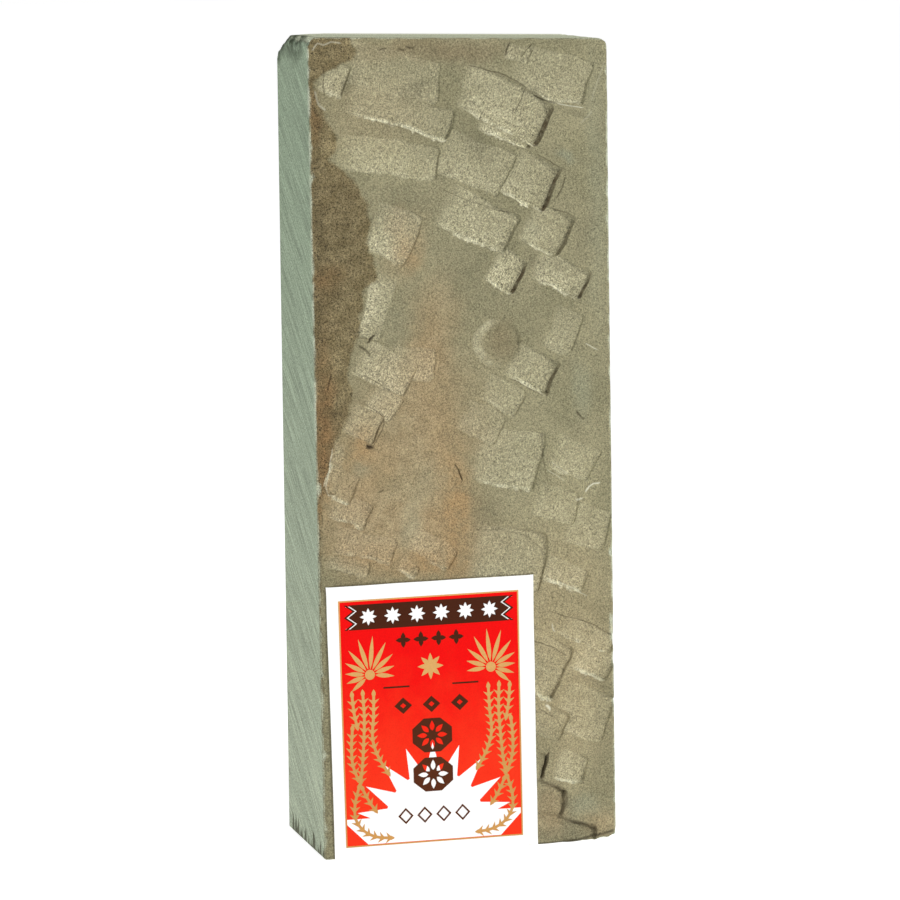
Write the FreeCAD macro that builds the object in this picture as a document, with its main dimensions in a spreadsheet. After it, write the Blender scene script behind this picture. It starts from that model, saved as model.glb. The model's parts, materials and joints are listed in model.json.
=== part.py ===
import FreeCAD, Part
import Sketcher
import math
import os
from collections import namedtuple

# A natural bench whetstone standing on its foot end, with a printed paper label pasted on its
# chiselled back.
#
# Row frame, millimetres: +Z runs up the stone's length, +X to the right of somebody looking at the
# label, and +Y into the stone. The origin is the middle of the footprint, on the floor.
# The block is a slight wedge: it is thicker at the foot than at the head, and its flat sharpening
# face, on the far side, leans in by that difference. The head is sawn a little lower on the right.
# The near side was split and then levelled by hand with a flat chisel, which left the shallow ramps
# listed in CHISEL_MARKS.
# Every body is drawn with the near face at y = 0, and its Placement sets it back into the frame.

SHEET = "Dimensions"

# Driving dimensions: plain numbers in millimetres, or in degrees where the name says so.
DIMENSIONS = {
    "left_height": 207.3,
    "right_height": 205.2,
    "stone_width": 77.0,
    "foot_thickness": 42.0,
    "head_thickness": 36.5,
    "edge_break": 0.7,
    "head_chip": 4.0,
    "head_chip_depth": 6.0,
    "foot_chip_width": 9.0,
    "foot_chip_height": 3.2,
    "foot_chip_depth": 7.0,
    "skim": 0.4,
    "pit_x": 8.5,
    "pit_z": 129.5,
    "pit_radius": 5.5,
    "pit_depth": 1.2,
    "label_left": -36.4,
    "label_foot": 0.2,
    "label_tilt_degrees": 0.7,
    "label_width": 53.8,
    "label_height": 69.7,
    "paste_inset": 0.6,
    "paste_thickness": 0.08,
    "paper_thickness": 0.12,
    "ink_thickness": 0.04,
    "panel_left": 3.0,
    "panel_foot": 2.8,
    "panel_width": 46.8,
    "panel_height": 63.2,
    "border_width": 0.45,
    "band_height": 7.2,
    "band_corner": 5.4,
    "burst_rise": 5.2,
    "burst_core": 13.0,
    "burst_reach": 20.5,
    "ray_root_half_width": 2.2,
    "ray_fan_degrees": 160.0,
    "banner_foot": 58.4,
    "banner_width": 44.0,
    "banner_height": 6.4,
    "banner_notch": 2.2,
}

RAY_COUNT = 9
BANNER_TEETH = 2

# Expressions in which @name is a dimension of the sheet: where the near face lies in the row frame,
# and how far each layer of the label starts in front of it.
FIRST_INK_LEVEL = "@paste_thickness + @paper_thickness"
SECOND_INK_LEVEL = FIRST_INK_LEVEL + " + @ink_thickness"
FRONT_Y = f"({SECOND_INK_LEVEL} + @ink_thickness - @foot_thickness) / 2"

# A chisel mark: the middle of its deep end, the heading of the stroke in degrees above +X, and how
# long, wide and deep the ramp is.
Mark = namedtuple("Mark", "name x z heading length width depth")

CHISEL_MARKS = [
    Mark("head_left", 15.5, 190.5, -23, 16, 8, 1.0),
    Mark("head_main", 22.0, 183.3, -27, 20, 13, 1.8),
    Mark("head_right", 33.5, 191.5, -10, 22, 8, 1.2),
    Mark("upper_long", -1.0, 184.5, -17, 28, 9, 1.2),
    Mark("upper_shallow", -6.0, 173.0, -15, 24, 8, 0.7),
    Mark("second_left", 9.0, 168.0, -22, 15, 8, 0.7),
    Mark("second_right", 24.0, 166.7, -25, 15, 12, 1.6),
    Mark("third_left", 13.5, 156.0, -30, 15, 10.5, 1.2),
    Mark("third_right", 26.5, 154.7, -30, 9, 12.5, 1.4),
    Mark("small_square", 15.2, 145.5, -27, 8, 10, 1.0),
    Mark("beside_square", 32.0, 143.0, -27, 14, 9, 1.4),
    Mark("below_pit", 23.5, 119.5, -27, 12, 9, 1.2),
    Mark("soft_by_pit", 28.5, 127.0, -30, 7, 7, 0.5),
    Mark("middle_wide", 21.0, 98.0, -20, 18, 13, 0.8),
    Mark("middle_right", 34.5, 97.4, -15, 11.5, 9, 0.5),
    Mark("over_label", 20.3, 75.0, -12, 20, 6, 0.9),
    Mark("left_upper", -11.0, 155.0, -20, 13, 10, 0.6),
    Mark("left_strip", -28.0, 131.0, -107, 20, 6, 0.5),
    Mark("left_middle", -10.5, 117.5, -25, 18, 10, 0.6),
    Mark("left_dark", -22.0, 109.0, -27, 10, 9, 0.7),
    Mark("left_low", -27.0, 93.0, -28, 8, 8, 0.5),
    Mark("left_lowest", -26.0, 86.0, -17, 8, 7, 0.5),
    Mark("beside_label", 37.0, 47.5, -14, 11, 12, 0.9),
    Mark("label_step", 23.8, 41.3, -30, 4, 9, 1.4),
    Mark("lower_right", 35.5, 27.0, -10, 10, 13, 0.7),
    Mark("foot_step", 25.5, 9.8, -12, 5, 7.5, 1.0),
]

# Printed ornaments, from the middle of the label's foot edge.
# A lozenge's centre and its half width and half height.
Lozenge = namedtuple("Lozenge", "x z half_width half_height")

LOZENGES = [
    Lozenge(-6.9, 55.0, 1.8, 1.8),
    Lozenge(-2.3, 55.0, 1.8, 1.8),
    Lozenge(2.3, 55.0, 1.8, 1.8),
    Lozenge(6.9, 55.0, 1.8, 1.8),
    Lozenge(-7.4, 38.3, 2.4, 2.0),
    Lozenge(0.0, 38.3, 2.4, 2.0),
    Lozenge(7.4, 38.3, 2.4, 2.0),
    Lozenge(0.0, 30.3, 5.4, 4.6),
    Lozenge(0.0, 20.2, 5.4, 4.6),
]

# A leaf's root, the heading it grows in, in degrees above +X, its length and its width. Each one
# has a mirror image on the label's left half.
Leaf = namedtuple("Leaf", "x z heading length width")

HANGING_LEAVES = [
    Leaf(14.5, 42.0, -92, 17.0, 1.8),
    Leaf(17.3, 42.0, -90, 20.5, 1.8),
    Leaf(20.0, 42.0, -89, 18.5, 1.8),
]
FAN_ROOT = (14.5, 48.0)
FAN_LEAF_COUNT = 7
FAN_GAP = 2.4
FAN_LEAF_LENGTH = 5.4
FAN_LEAF_WIDTH = 1.2


def fill_sheet(doc):
    """Write every driving dimension into the spreadsheet, one aliased cell each."""
    sheet = doc.addObject("Spreadsheet::Sheet", SHEET)
    entries = dict(DIMENSIONS)
    for mark in CHISEL_MARKS:
        for size in ("length", "width", "depth"):
            entries[mark.name + "_" + size] = getattr(mark, size)
    for row, (alias, value) in enumerate(entries.items(), start=1):
        sheet.set(f"A{row}", alias)
        sheet.set(f"B{row}", str(value))
        sheet.setAlias(f"B{row}", alias)
    doc.recompute()


def bind(item, path, expression):
    """Bind a property to an expression in which @name is a dimension of the sheet."""
    item.setExpression(path, expression.replace("@", SHEET + "."))


def new_body(doc, label):
    """Start a sub-part, set back so that the whole object is centred on the origin."""
    body = doc.addObject("PartDesign::Body", label)
    body.Label = label
    bind(body, "Placement.Base.y", FRONT_Y)
    return body


def new_label_body(doc, label):
    """Start a layer of the label, drawn from the label's lower left corner and tilted with it."""
    body = new_body(doc, label)
    body.AllowCompound = True
    towards_viewer = FreeCAD.Vector(0, -1, 0)
    body.Placement.Rotation = FreeCAD.Rotation(towards_viewer, DIMENSIONS["label_tilt_degrees"])
    bind(body, "Placement.Rotation.Angle", "@label_tilt_degrees")
    bind(body, "Placement.Base.x", "@label_left")
    bind(body, "Placement.Base.z", "@label_foot")
    return body


def new_sketch(body, name, role, offsets=()):
    """Start a sketch on one of the body's own origin planes, moved by bound offsets."""
    planes = {feature.Role: feature for feature in body.Origin.OriginFeatures}
    sketch = body.newObject("Sketcher::SketchObject", name)
    sketch.AttachmentSupport = [(planes[role], "")]
    sketch.MapMode = "FlatFace"
    for axis, expression in offsets:
        bind(sketch, "AttachmentOffset.Base." + axis, expression)
    return sketch


def add_loop(sketch, corners):
    """Draw a closed chain of straight lines through the corners."""
    first = sketch.GeometryCount
    points = [FreeCAD.Vector(x, y, 0) for x, y in corners]
    for start, end in zip(points, points[1:] + points[:1]):
        sketch.addGeometry(Part.LineSegment(start, end), False)
    lines = list(range(first, sketch.GeometryCount))
    for line, following in zip(lines, lines[1:] + lines[:1]):
        sketch.addConstraint(Sketcher.Constraint("Coincident", line, 2, following, 1))
    return lines


def add_length(sketch, name, kind, references, expression):
    """Constrain a distance in the sketch and bind it to the sheet."""
    index = sketch.addConstraint(Sketcher.Constraint(kind, *references, 1.0))
    sketch.renameConstraint(index, name)
    bind(sketch, "Constraints." + name, expression)


def add_rectangle(sketch, name, width, height, inset=None):
    """Draw an upright rectangle from the sketch's origin, or a bound inset away from it."""
    lines = add_loop(sketch, [(1, 1), (2, 1), (2, 2), (1, 2)])
    foot, right, top, left = lines
    for line in (foot, top):
        sketch.addConstraint(Sketcher.Constraint("Horizontal", line))
    for line in (right, left):
        sketch.addConstraint(Sketcher.Constraint("Vertical", line))
    add_length(sketch, name + "_width", "DistanceX", (foot, 1, foot, 2), width)
    add_length(sketch, name + "_height", "DistanceY", (right, 1, right, 2), height)
    if inset is None:
        sketch.addConstraint(Sketcher.Constraint("Coincident", foot, 1, -1, 1))
    else:
        add_length(sketch, name + "_from_left", "DistanceX", (-1, 1, foot, 1), inset)
        add_length(sketch, name + "_from_foot", "DistanceY", (-1, 1, foot, 1), inset)


def pad(body, name, sketch, length):
    feature = body.newObject("PartDesign::Pad", name)
    feature.Profile = sketch
    bind(feature, "Length", length)
    return feature


def pocket_through(body, name, sketch):
    """Cut a sketch right through the body, both ways from the sketch."""
    feature = body.newObject("PartDesign::Pocket", name)
    feature.Profile = sketch
    feature.Type = "ThroughAll"
    feature.SideType = "Symmetric"
    return feature


def require_cut(doc, body, before, name):
    """Stop if a cut took nothing away, and return the new volume."""
    doc.recompute()
    if not body.Shape.Volume < before:
        raise RuntimeError(name + " cut nothing")
    return body.Shape.Volume


def draw_side_profile(body):
    """Draw the stone from its left side: upright near face, sloping back, level foot and head."""
    sketch = new_sketch(body, "SideProfile", "YZ_Plane")
    size = DIMENSIONS
    corners = [
        (0, 0),
        (size["foot_thickness"], 0),
        (size["head_thickness"], size["left_height"]),
        (0, size["left_height"]),
    ]
    foot, back, head, face = add_loop(sketch, corners)
    sketch.addConstraint(Sketcher.Constraint("Coincident", foot, 1, -1, 1))
    sketch.addConstraint(Sketcher.Constraint("Vertical", face))
    for line in (foot, head):
        sketch.addConstraint(Sketcher.Constraint("Horizontal", line))
    add_length(sketch, "foot_thickness", "DistanceX", (foot, 1, foot, 2), "@foot_thickness")
    add_length(sketch, "left_height", "DistanceY", (face, 2, face, 1), "@left_height")
    add_length(sketch, "head_thickness", "DistanceX", (head, 2, head, 1), "@head_thickness")
    return sketch


def long_edges(shape):
    """Name the four edges that run up the stone."""
    half_length = DIMENSIONS["right_height"] / 2
    names = []
    for number, edge in enumerate(shape.Edges, start=1):
        if edge.BoundBox.ZLength > half_length:
            names.append(f"Edge{number}")
    return names


def saw_head(body):
    """Saw the head off along a line that falls from the left height to the right height."""
    size = DIMENSIONS
    side = size["stone_width"] / 2
    left, right = size["left_height"], size["right_height"]
    over = 1.0
    fall = over * (left - right) / size["stone_width"]
    sketch = new_sketch(body, "HeadOutline", "XZ_Plane")
    corners = [
        (-side - over, left + fall),
        (side + over, right - fall),
        (side + over, left + 2 * over),
        (-side - over, left + 2 * over),
    ]
    add_loop(sketch, corners)
    pocket_through(body, "SawnHead", sketch)


def break_corner(body, name, corners, depth, from_back):
    """Cut a broken corner whose outline is drawn on the face and which goes in by its depth."""
    sketch = new_sketch(body, name + "Outline", "XZ_Plane")
    if from_back:
        bind(sketch, "AttachmentOffset.Base.z", "-@head_thickness")
    add_loop(sketch, corners)
    feature = body.newObject("PartDesign::Pocket", name)
    feature.Profile = sketch
    feature.SideType = "Symmetric"
    bind(feature, "Length", "2 * @" + depth)


def cut_chisel_mark(body, mark):
    """Cut one ramp: a triangular wedge that starts at the face and ends in a step."""
    wedge = body.newObject("PartDesign::SubtractiveWedge", mark.name)
    length, width, depth = (f"@{mark.name}_{size}" for size in ("length", "width", "depth"))
    wedge.Xmax = 0
    wedge.X2min = 0
    wedge.X2max = 0
    bind(wedge, "Xmin", f"-{length} * (1 + @skim / {depth})")
    bind(wedge, "Ymin", "-@skim")
    bind(wedge, "Ymax", depth)
    for side in ("Zmin", "Z2min"):
        bind(wedge, side, f"-{width} / 2")
    for side in ("Zmax", "Z2max"):
        bind(wedge, side, f"{width} / 2")
    into_stone = FreeCAD.Vector(0, 1, 0)
    turn = FreeCAD.Rotation(into_stone, -mark.heading)
    wedge.Placement = FreeCAD.Placement(FreeCAD.Vector(mark.x, 0, mark.z), turn)


def cut_round_pit(body):
    """Cut the shallow round pit with a ball that only just dips into the face."""
    ball = body.newObject("PartDesign::SubtractiveSphere", "round_pit")
    ball_radius = "(@pit_radius ^ 2 + @pit_depth ^ 2) / (2 * @pit_depth)"
    bind(ball, "Radius", ball_radius)
    bind(ball, "Placement.Base.x", "@pit_x")
    bind(ball, "Placement.Base.y", "@pit_depth - " + ball_radius)
    bind(ball, "Placement.Base.z", "@pit_z")


def make_stone(doc):
    body = new_body(doc, "stone_block")
    profile = draw_side_profile(body)
    block = pad(body, "SawnBlock", profile, "@stone_width")
    block.SideType = "Symmetric"
    doc.recompute()
    edges = body.newObject("PartDesign::Chamfer", "BrokenEdges")
    edges.Base = (block, long_edges(block.Shape))
    bind(edges, "Size", "@edge_break")
    doc.recompute()
    volume = body.Shape.Volume
    saw_head(body)
    volume = require_cut(doc, body, volume, "SawnHead")

    size = DIMENSIONS
    side = size["stone_width"] / 2
    over = 1.0
    head = size["left_height"]
    chip = size["head_chip"]
    break_corner(
        body,
        "HeadChip",
        [
            (-side - over, head - chip - over),
            (-side + chip + over, head + over),
            (-side - over, head + over),
        ],
        "head_chip_depth",
        from_back=True,
    )
    volume = require_cut(doc, body, volume, "HeadChip")
    break_corner(
        body,
        "FootChip",
        [
            (side - size["foot_chip_width"], 0),
            (side - size["foot_chip_width"], -over),
            (side + over, -over),
            (side + over, size["foot_chip_height"]),
        ],
        "foot_chip_depth",
        from_back=False,
    )
    volume = require_cut(doc, body, volume, "FootChip")

    for mark in CHISEL_MARKS:
        cut_chisel_mark(body, mark)
        volume = require_cut(doc, body, volume, mark.name)
    cut_round_pit(body)
    require_cut(doc, body, volume, "round_pit")
    return body


def make_paste(doc):
    """The dried paste film between the stone and the paper, a little smaller than the paper."""
    body = new_label_body(doc, "label_paste")
    offsets = (("x", "@paste_inset"), ("y", "@paste_inset"))
    sketch = new_sketch(body, "PasteOutline", "XZ_Plane", offsets)
    add_rectangle(sketch, "paste", "@label_width - 2 * @paste_inset", "@label_height - 2 * @paste_inset")
    pad(body, "PasteFilm", sketch, "@paste_thickness")
    return body


def make_paper(doc):
    body = new_label_body(doc, "label_paper")
    sketch = new_sketch(body, "PaperOutline", "XZ_Plane", (("z", "@paste_thickness"),))
    add_rectangle(sketch, "paper", "@label_width", "@label_height")
    pad(body, "PaperSheet", sketch, "@paper_thickness")
    return body


def make_red_print(doc):
    """The red panel, open where bare paper shows: a foot band and an even fan of rays above it."""
    body = new_label_body(doc, "red_print")
    size = DIMENSIONS
    panel_offsets = (("x", "@panel_left"), ("y", "@panel_foot"), ("z", FIRST_INK_LEVEL))
    panel = new_sketch(body, "PanelOutline", "XZ_Plane", panel_offsets)
    add_rectangle(panel, "panel", "@panel_width", "@panel_height")
    pad(body, "PanelInk", panel, "@ink_thickness")
    doc.recompute()
    volume = body.Shape.Volume

    left = size["border_width"]
    right = size["panel_width"] - size["border_width"]
    foot = size["border_width"]
    corner = size["band_corner"]
    band = new_sketch(body, "BandOutline", "XZ_Plane", panel_offsets)
    band_corners = [
        (left + corner, foot),
        (right - corner, foot),
        (right, foot + corner),
        (right, size["band_height"]),
        (left, size["band_height"]),
        (left, foot + corner),
    ]
    add_loop(band, band_corners)
    pocket_through(body, "FootBand", band)
    volume = require_cut(doc, body, volume, "FootBand")

    centre_offsets = (
        ("x", "@panel_left + @panel_width / 2"),
        ("y", "@panel_foot + @burst_rise"),
        ("z", FIRST_INK_LEVEL),
    )
    core = new_sketch(body, "BurstCore", "XZ_Plane", centre_offsets)
    radius = size["burst_core"]
    circle = Part.Circle(FreeCAD.Vector(0, 0, 0), FreeCAD.Vector(0, 0, 1), radius)
    left_end = FreeCAD.Vector(-radius, 0, 0)
    right_end = FreeCAD.Vector(radius, 0, 0)
    core.addGeometry(Part.ArcOfCircle(circle, 0, math.pi), False)
    core.addGeometry(Part.LineSegment(left_end, right_end), False)
    core.addConstraint(Sketcher.Constraint("Coincident", 0, 2, 1, 1))
    core.addConstraint(Sketcher.Constraint("Coincident", 0, 1, 1, 2))
    core.addConstraint(Sketcher.Constraint("Coincident", 0, 3, -1, 1))
    core.addConstraint(Sketcher.Constraint("PointOnObject", 0, 1, -1))
    add_length(core, "core_radius", "Radius", (0,), "@burst_core")
    pocket_through(body, "BurstDisc", core)
    volume = require_cut(doc, body, volume, "BurstDisc")

    first_heading = math.radians((180 - size["ray_fan_degrees"]) / 2)
    ray = new_sketch(body, "RayOutline", "XZ_Plane", centre_offsets)
    root = radius - 1
    half_width = size["ray_root_half_width"]
    ray_corners = [
        turned(root, -half_width, first_heading),
        turned(size["burst_reach"], 0, first_heading),
        turned(root, half_width, first_heading),
    ]
    add_loop(ray, ray_corners)
    first_ray = pocket_through(body, "Ray", ray)
    volume = require_cut(doc, body, volume, "Ray")
    fan = body.newObject("PartDesign::PolarPattern", "RayFan")
    fan.Originals = [first_ray]
    fan.Axis = (ray, ["N_Axis"])
    fan.Occurrences = RAY_COUNT
    bind(fan, "Angle", "@ray_fan_degrees")
    body.Tip = fan
    require_cut(doc, body, volume, "RayFan")
    return body


def turned(along, across, heading):
    """Turn a point by a heading in radians."""
    x = along * math.cos(heading) - across * math.sin(heading)
    y = along * math.sin(heading) + across * math.cos(heading)
    return (x, y)


def banner_corners():
    """A ribbon centred on x = 0, with the same row of notches cut into each end."""
    size = DIMENSIONS
    half_width = size["banner_width"] / 2
    step = size["banner_height"] / (2 * BANNER_TEETH)
    right = []
    for number in range(2 * BANNER_TEETH + 1):
        notch = size["banner_notch"] if number % 2 else 0
        right.append((half_width - notch, number * step))
    left = [(-x, z) for x, z in reversed(right)]
    return right + left


def make_brown_print(doc):
    """The banner and the rows of plain lozenges, printed over the red."""
    body = new_label_body(doc, "brown_print")
    middle = "@label_width / 2"
    banner_offsets = (("x", middle), ("y", "@banner_foot"), ("z", SECOND_INK_LEVEL))
    banner = new_sketch(body, "BannerOutline", "XZ_Plane", banner_offsets)
    add_loop(banner, banner_corners())
    pad(body, "BannerInk", banner, "@ink_thickness")

    rows = new_sketch(body, "LozengeOutlines", "XZ_Plane", (("x", middle), ("z", SECOND_INK_LEVEL)))
    for lozenge in LOZENGES:
        corners = [
            (lozenge.x + lozenge.half_width, lozenge.z),
            (lozenge.x, lozenge.z + lozenge.half_height),
            (lozenge.x - lozenge.half_width, lozenge.z),
            (lozenge.x, lozenge.z - lozenge.half_height),
        ]
        add_loop(rows, corners)
    pad(body, "LozengeInk", rows, "@ink_thickness")
    return body


def leaf_corners(leaf, side):
    """A four-cornered leaf on the right half of the label, or its mirror image on the left."""
    shoulder = 0.4 * leaf.length
    outline = [(0, 0), (shoulder, -leaf.width / 2), (leaf.length, 0), (shoulder, leaf.width / 2)]
    corners = []
    for along, across in outline:
        x, z = turned(along, across, math.radians(leaf.heading))
        corners.append((side * (leaf.x + x), leaf.z + z))
    return corners


def fan_leaves():
    """A half-round fan of leaves growing up from one point, each starting a gap away from it."""
    leaves = []
    for number in range(FAN_LEAF_COUNT):
        heading = 180 * number / (FAN_LEAF_COUNT - 1)
        x, z = turned(FAN_GAP, 0, math.radians(heading))
        leaves.append(Leaf(FAN_ROOT[0] + x, FAN_ROOT[1] + z, heading, FAN_LEAF_LENGTH, FAN_LEAF_WIDTH))
    return leaves


def make_gold_print(doc):
    """The thin border round the panel, and leaves down both sides of it."""
    body = new_label_body(doc, "gold_print")
    border_offsets = (("x", "@panel_left"), ("y", "@panel_foot"), ("z", SECOND_INK_LEVEL))
    border = new_sketch(body, "BorderOutline", "XZ_Plane", border_offsets)
    add_rectangle(border, "outer", "@panel_width", "@panel_height")
    inner_width = "@panel_width - 2 * @border_width"
    inner_height = "@panel_height - 2 * @border_width"
    add_rectangle(border, "inner", inner_width, inner_height, "@border_width")
    pad(body, "BorderInk", border, "@ink_thickness")

    leaf_offsets = (("x", "@label_width / 2"), ("z", SECOND_INK_LEVEL))
    leaves = new_sketch(body, "LeafOutlines", "XZ_Plane", leaf_offsets)
    for leaf in HANGING_LEAVES + fan_leaves():
        for side in (1, -1):
            add_loop(leaves, leaf_corners(leaf, side))
    pad(body, "LeafInk", leaves, "@ink_thickness")
    return body


def check_document(doc, bodies):
    """Stop if any object failed, or any sub-part is empty or broken."""
    for item in doc.Objects:
        if {"Invalid", "Error"} & set(item.State):
            raise RuntimeError(item.Label + " failed: " + str(item.State))
    for body in bodies:
        if body.Shape.isNull() or not body.Shape.isValid():
            raise RuntimeError(body.Label + " has no valid shape")


def main():
    os.makedirs("parts", exist_ok=True)
    doc = FreeCAD.newDocument("Whetstone")
    fill_sheet(doc)
    makers = (make_stone, make_paste, make_paper, make_red_print, make_brown_print, make_gold_print)
    bodies = [make(doc) for make in makers]
    doc.recompute()
    check_document(doc, bodies)
    for body in bodies:
        box = body.Shape.BoundBox
        print(f"{body.Label}: {len(body.Shape.Solids)} solids, volume {body.Shape.Volume:.1f}, {box}")
        body.Shape.exportStep(f"parts/{body.Label}.step")


main()
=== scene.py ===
import json
import math
from collections import namedtuple

import bpy
import numpy as np
from mathutils import Matrix, Vector
from mathutils.geometry import delaunay_2d_cdt


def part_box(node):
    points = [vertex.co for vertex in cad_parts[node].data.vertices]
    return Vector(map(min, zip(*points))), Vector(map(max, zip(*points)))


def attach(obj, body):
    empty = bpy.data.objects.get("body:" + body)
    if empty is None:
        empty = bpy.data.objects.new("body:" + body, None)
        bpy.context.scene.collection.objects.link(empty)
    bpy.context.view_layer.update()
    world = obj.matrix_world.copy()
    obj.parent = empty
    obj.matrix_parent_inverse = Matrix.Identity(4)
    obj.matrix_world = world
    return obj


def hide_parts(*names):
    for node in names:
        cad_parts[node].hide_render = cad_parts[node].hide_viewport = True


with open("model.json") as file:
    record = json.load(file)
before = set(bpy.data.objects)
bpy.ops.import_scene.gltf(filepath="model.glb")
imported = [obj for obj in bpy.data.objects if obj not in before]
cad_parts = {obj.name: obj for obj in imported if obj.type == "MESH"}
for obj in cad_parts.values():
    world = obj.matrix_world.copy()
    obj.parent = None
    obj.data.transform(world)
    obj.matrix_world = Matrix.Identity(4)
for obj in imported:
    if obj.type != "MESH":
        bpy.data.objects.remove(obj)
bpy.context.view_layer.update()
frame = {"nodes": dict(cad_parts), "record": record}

# The looks of a natural bench whetstone that stands on its foot end.
#
# Shapes are drawn in "face" millimetres: x to the right, y into the stone from its near face, and
# z up from the floor. to_metres() turns them into the row frame.

MM = 0.001
STONE_LOW, STONE_HIGH = (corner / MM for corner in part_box("stone_block"))
WIDTH = STONE_HIGH.x - STONE_LOW.x
THICKNESS = STONE_HIGH.y - STONE_LOW.y
HEAD_DROP = 2.1
HEAD_BAND = 15.0
LENGTH = STONE_HIGH.z - HEAD_DROP / 2
HALF_WIDTH = WIDTH / 2
FRONT = STONE_LOW.y

# The far face leans in by the slope of the record's honing face.
HONING_AXIS = next(m["axis"] for m in frame["record"]["mounts"] if m["name"] == "honing_face")
FACE_SLOPE = HONING_AXIS[2] / HONING_AXIS[1]


def to_metres(points):
    """Turn face millimetres, one row per point, into metres in the row frame."""
    moved = np.array(points, float)
    moved[:, 1] += FRONT
    return moved * MM


# ---- Small mathematics ----

def ramp(value, low, high):
    """Rise smoothly from 0 at low to 1 at high, or fall if low is above high."""
    t = np.clip((value - low) / (high - low), 0, 1)
    return t * t * (3 - 2 * t)


def noise(x, z, wavelength, seed):
    """Smooth random values between -1 and 1 that change over about one wavelength."""
    size = 64
    lattice = np.random.default_rng(seed).uniform(-1, 1, (size, size))
    u = np.asarray(x) / wavelength + size / 2
    v = np.asarray(z) / wavelength + size / 2
    column = np.floor(u).astype(int)
    row = np.floor(v).astype(int)
    s = ramp(u - column, 0, 1)
    t = ramp(v - row, 0, 1)
    left, right = column % size, (column + 1) % size
    low, high = row % size, (row + 1) % size
    bottom = lattice[left, low] * (1 - s) + lattice[right, low] * s
    top = lattice[left, high] * (1 - s) + lattice[right, high] * s
    return bottom * (1 - t) + top * t


def layered(x, z, seed, *layers):
    """A sum of noises, each given as (strength, wavelength) and with the next seed."""
    return sum(strength * noise(x, z, wavelength, seed + number)
               for number, (strength, wavelength) in enumerate(layers))


# ---- The worked face ----

# One stroke of the flat chisel. (x, z) is the middle of its deep end, heading is the stroke's
# direction in degrees above +x, and rise is its depth at that end. lean makes the lower edge
# deeper, or the upper edge when it is negative. The last three, each up to 1, are how pale the
# floor is, partly the fresh-cut stone and partly painted light, how white the painted highlight
# along its lower edge is, and how dark the painted shade in the corner of its deep end is.
Stroke = namedtuple("Stroke", "x z heading length width rise lean pale crumb grime")

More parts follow.
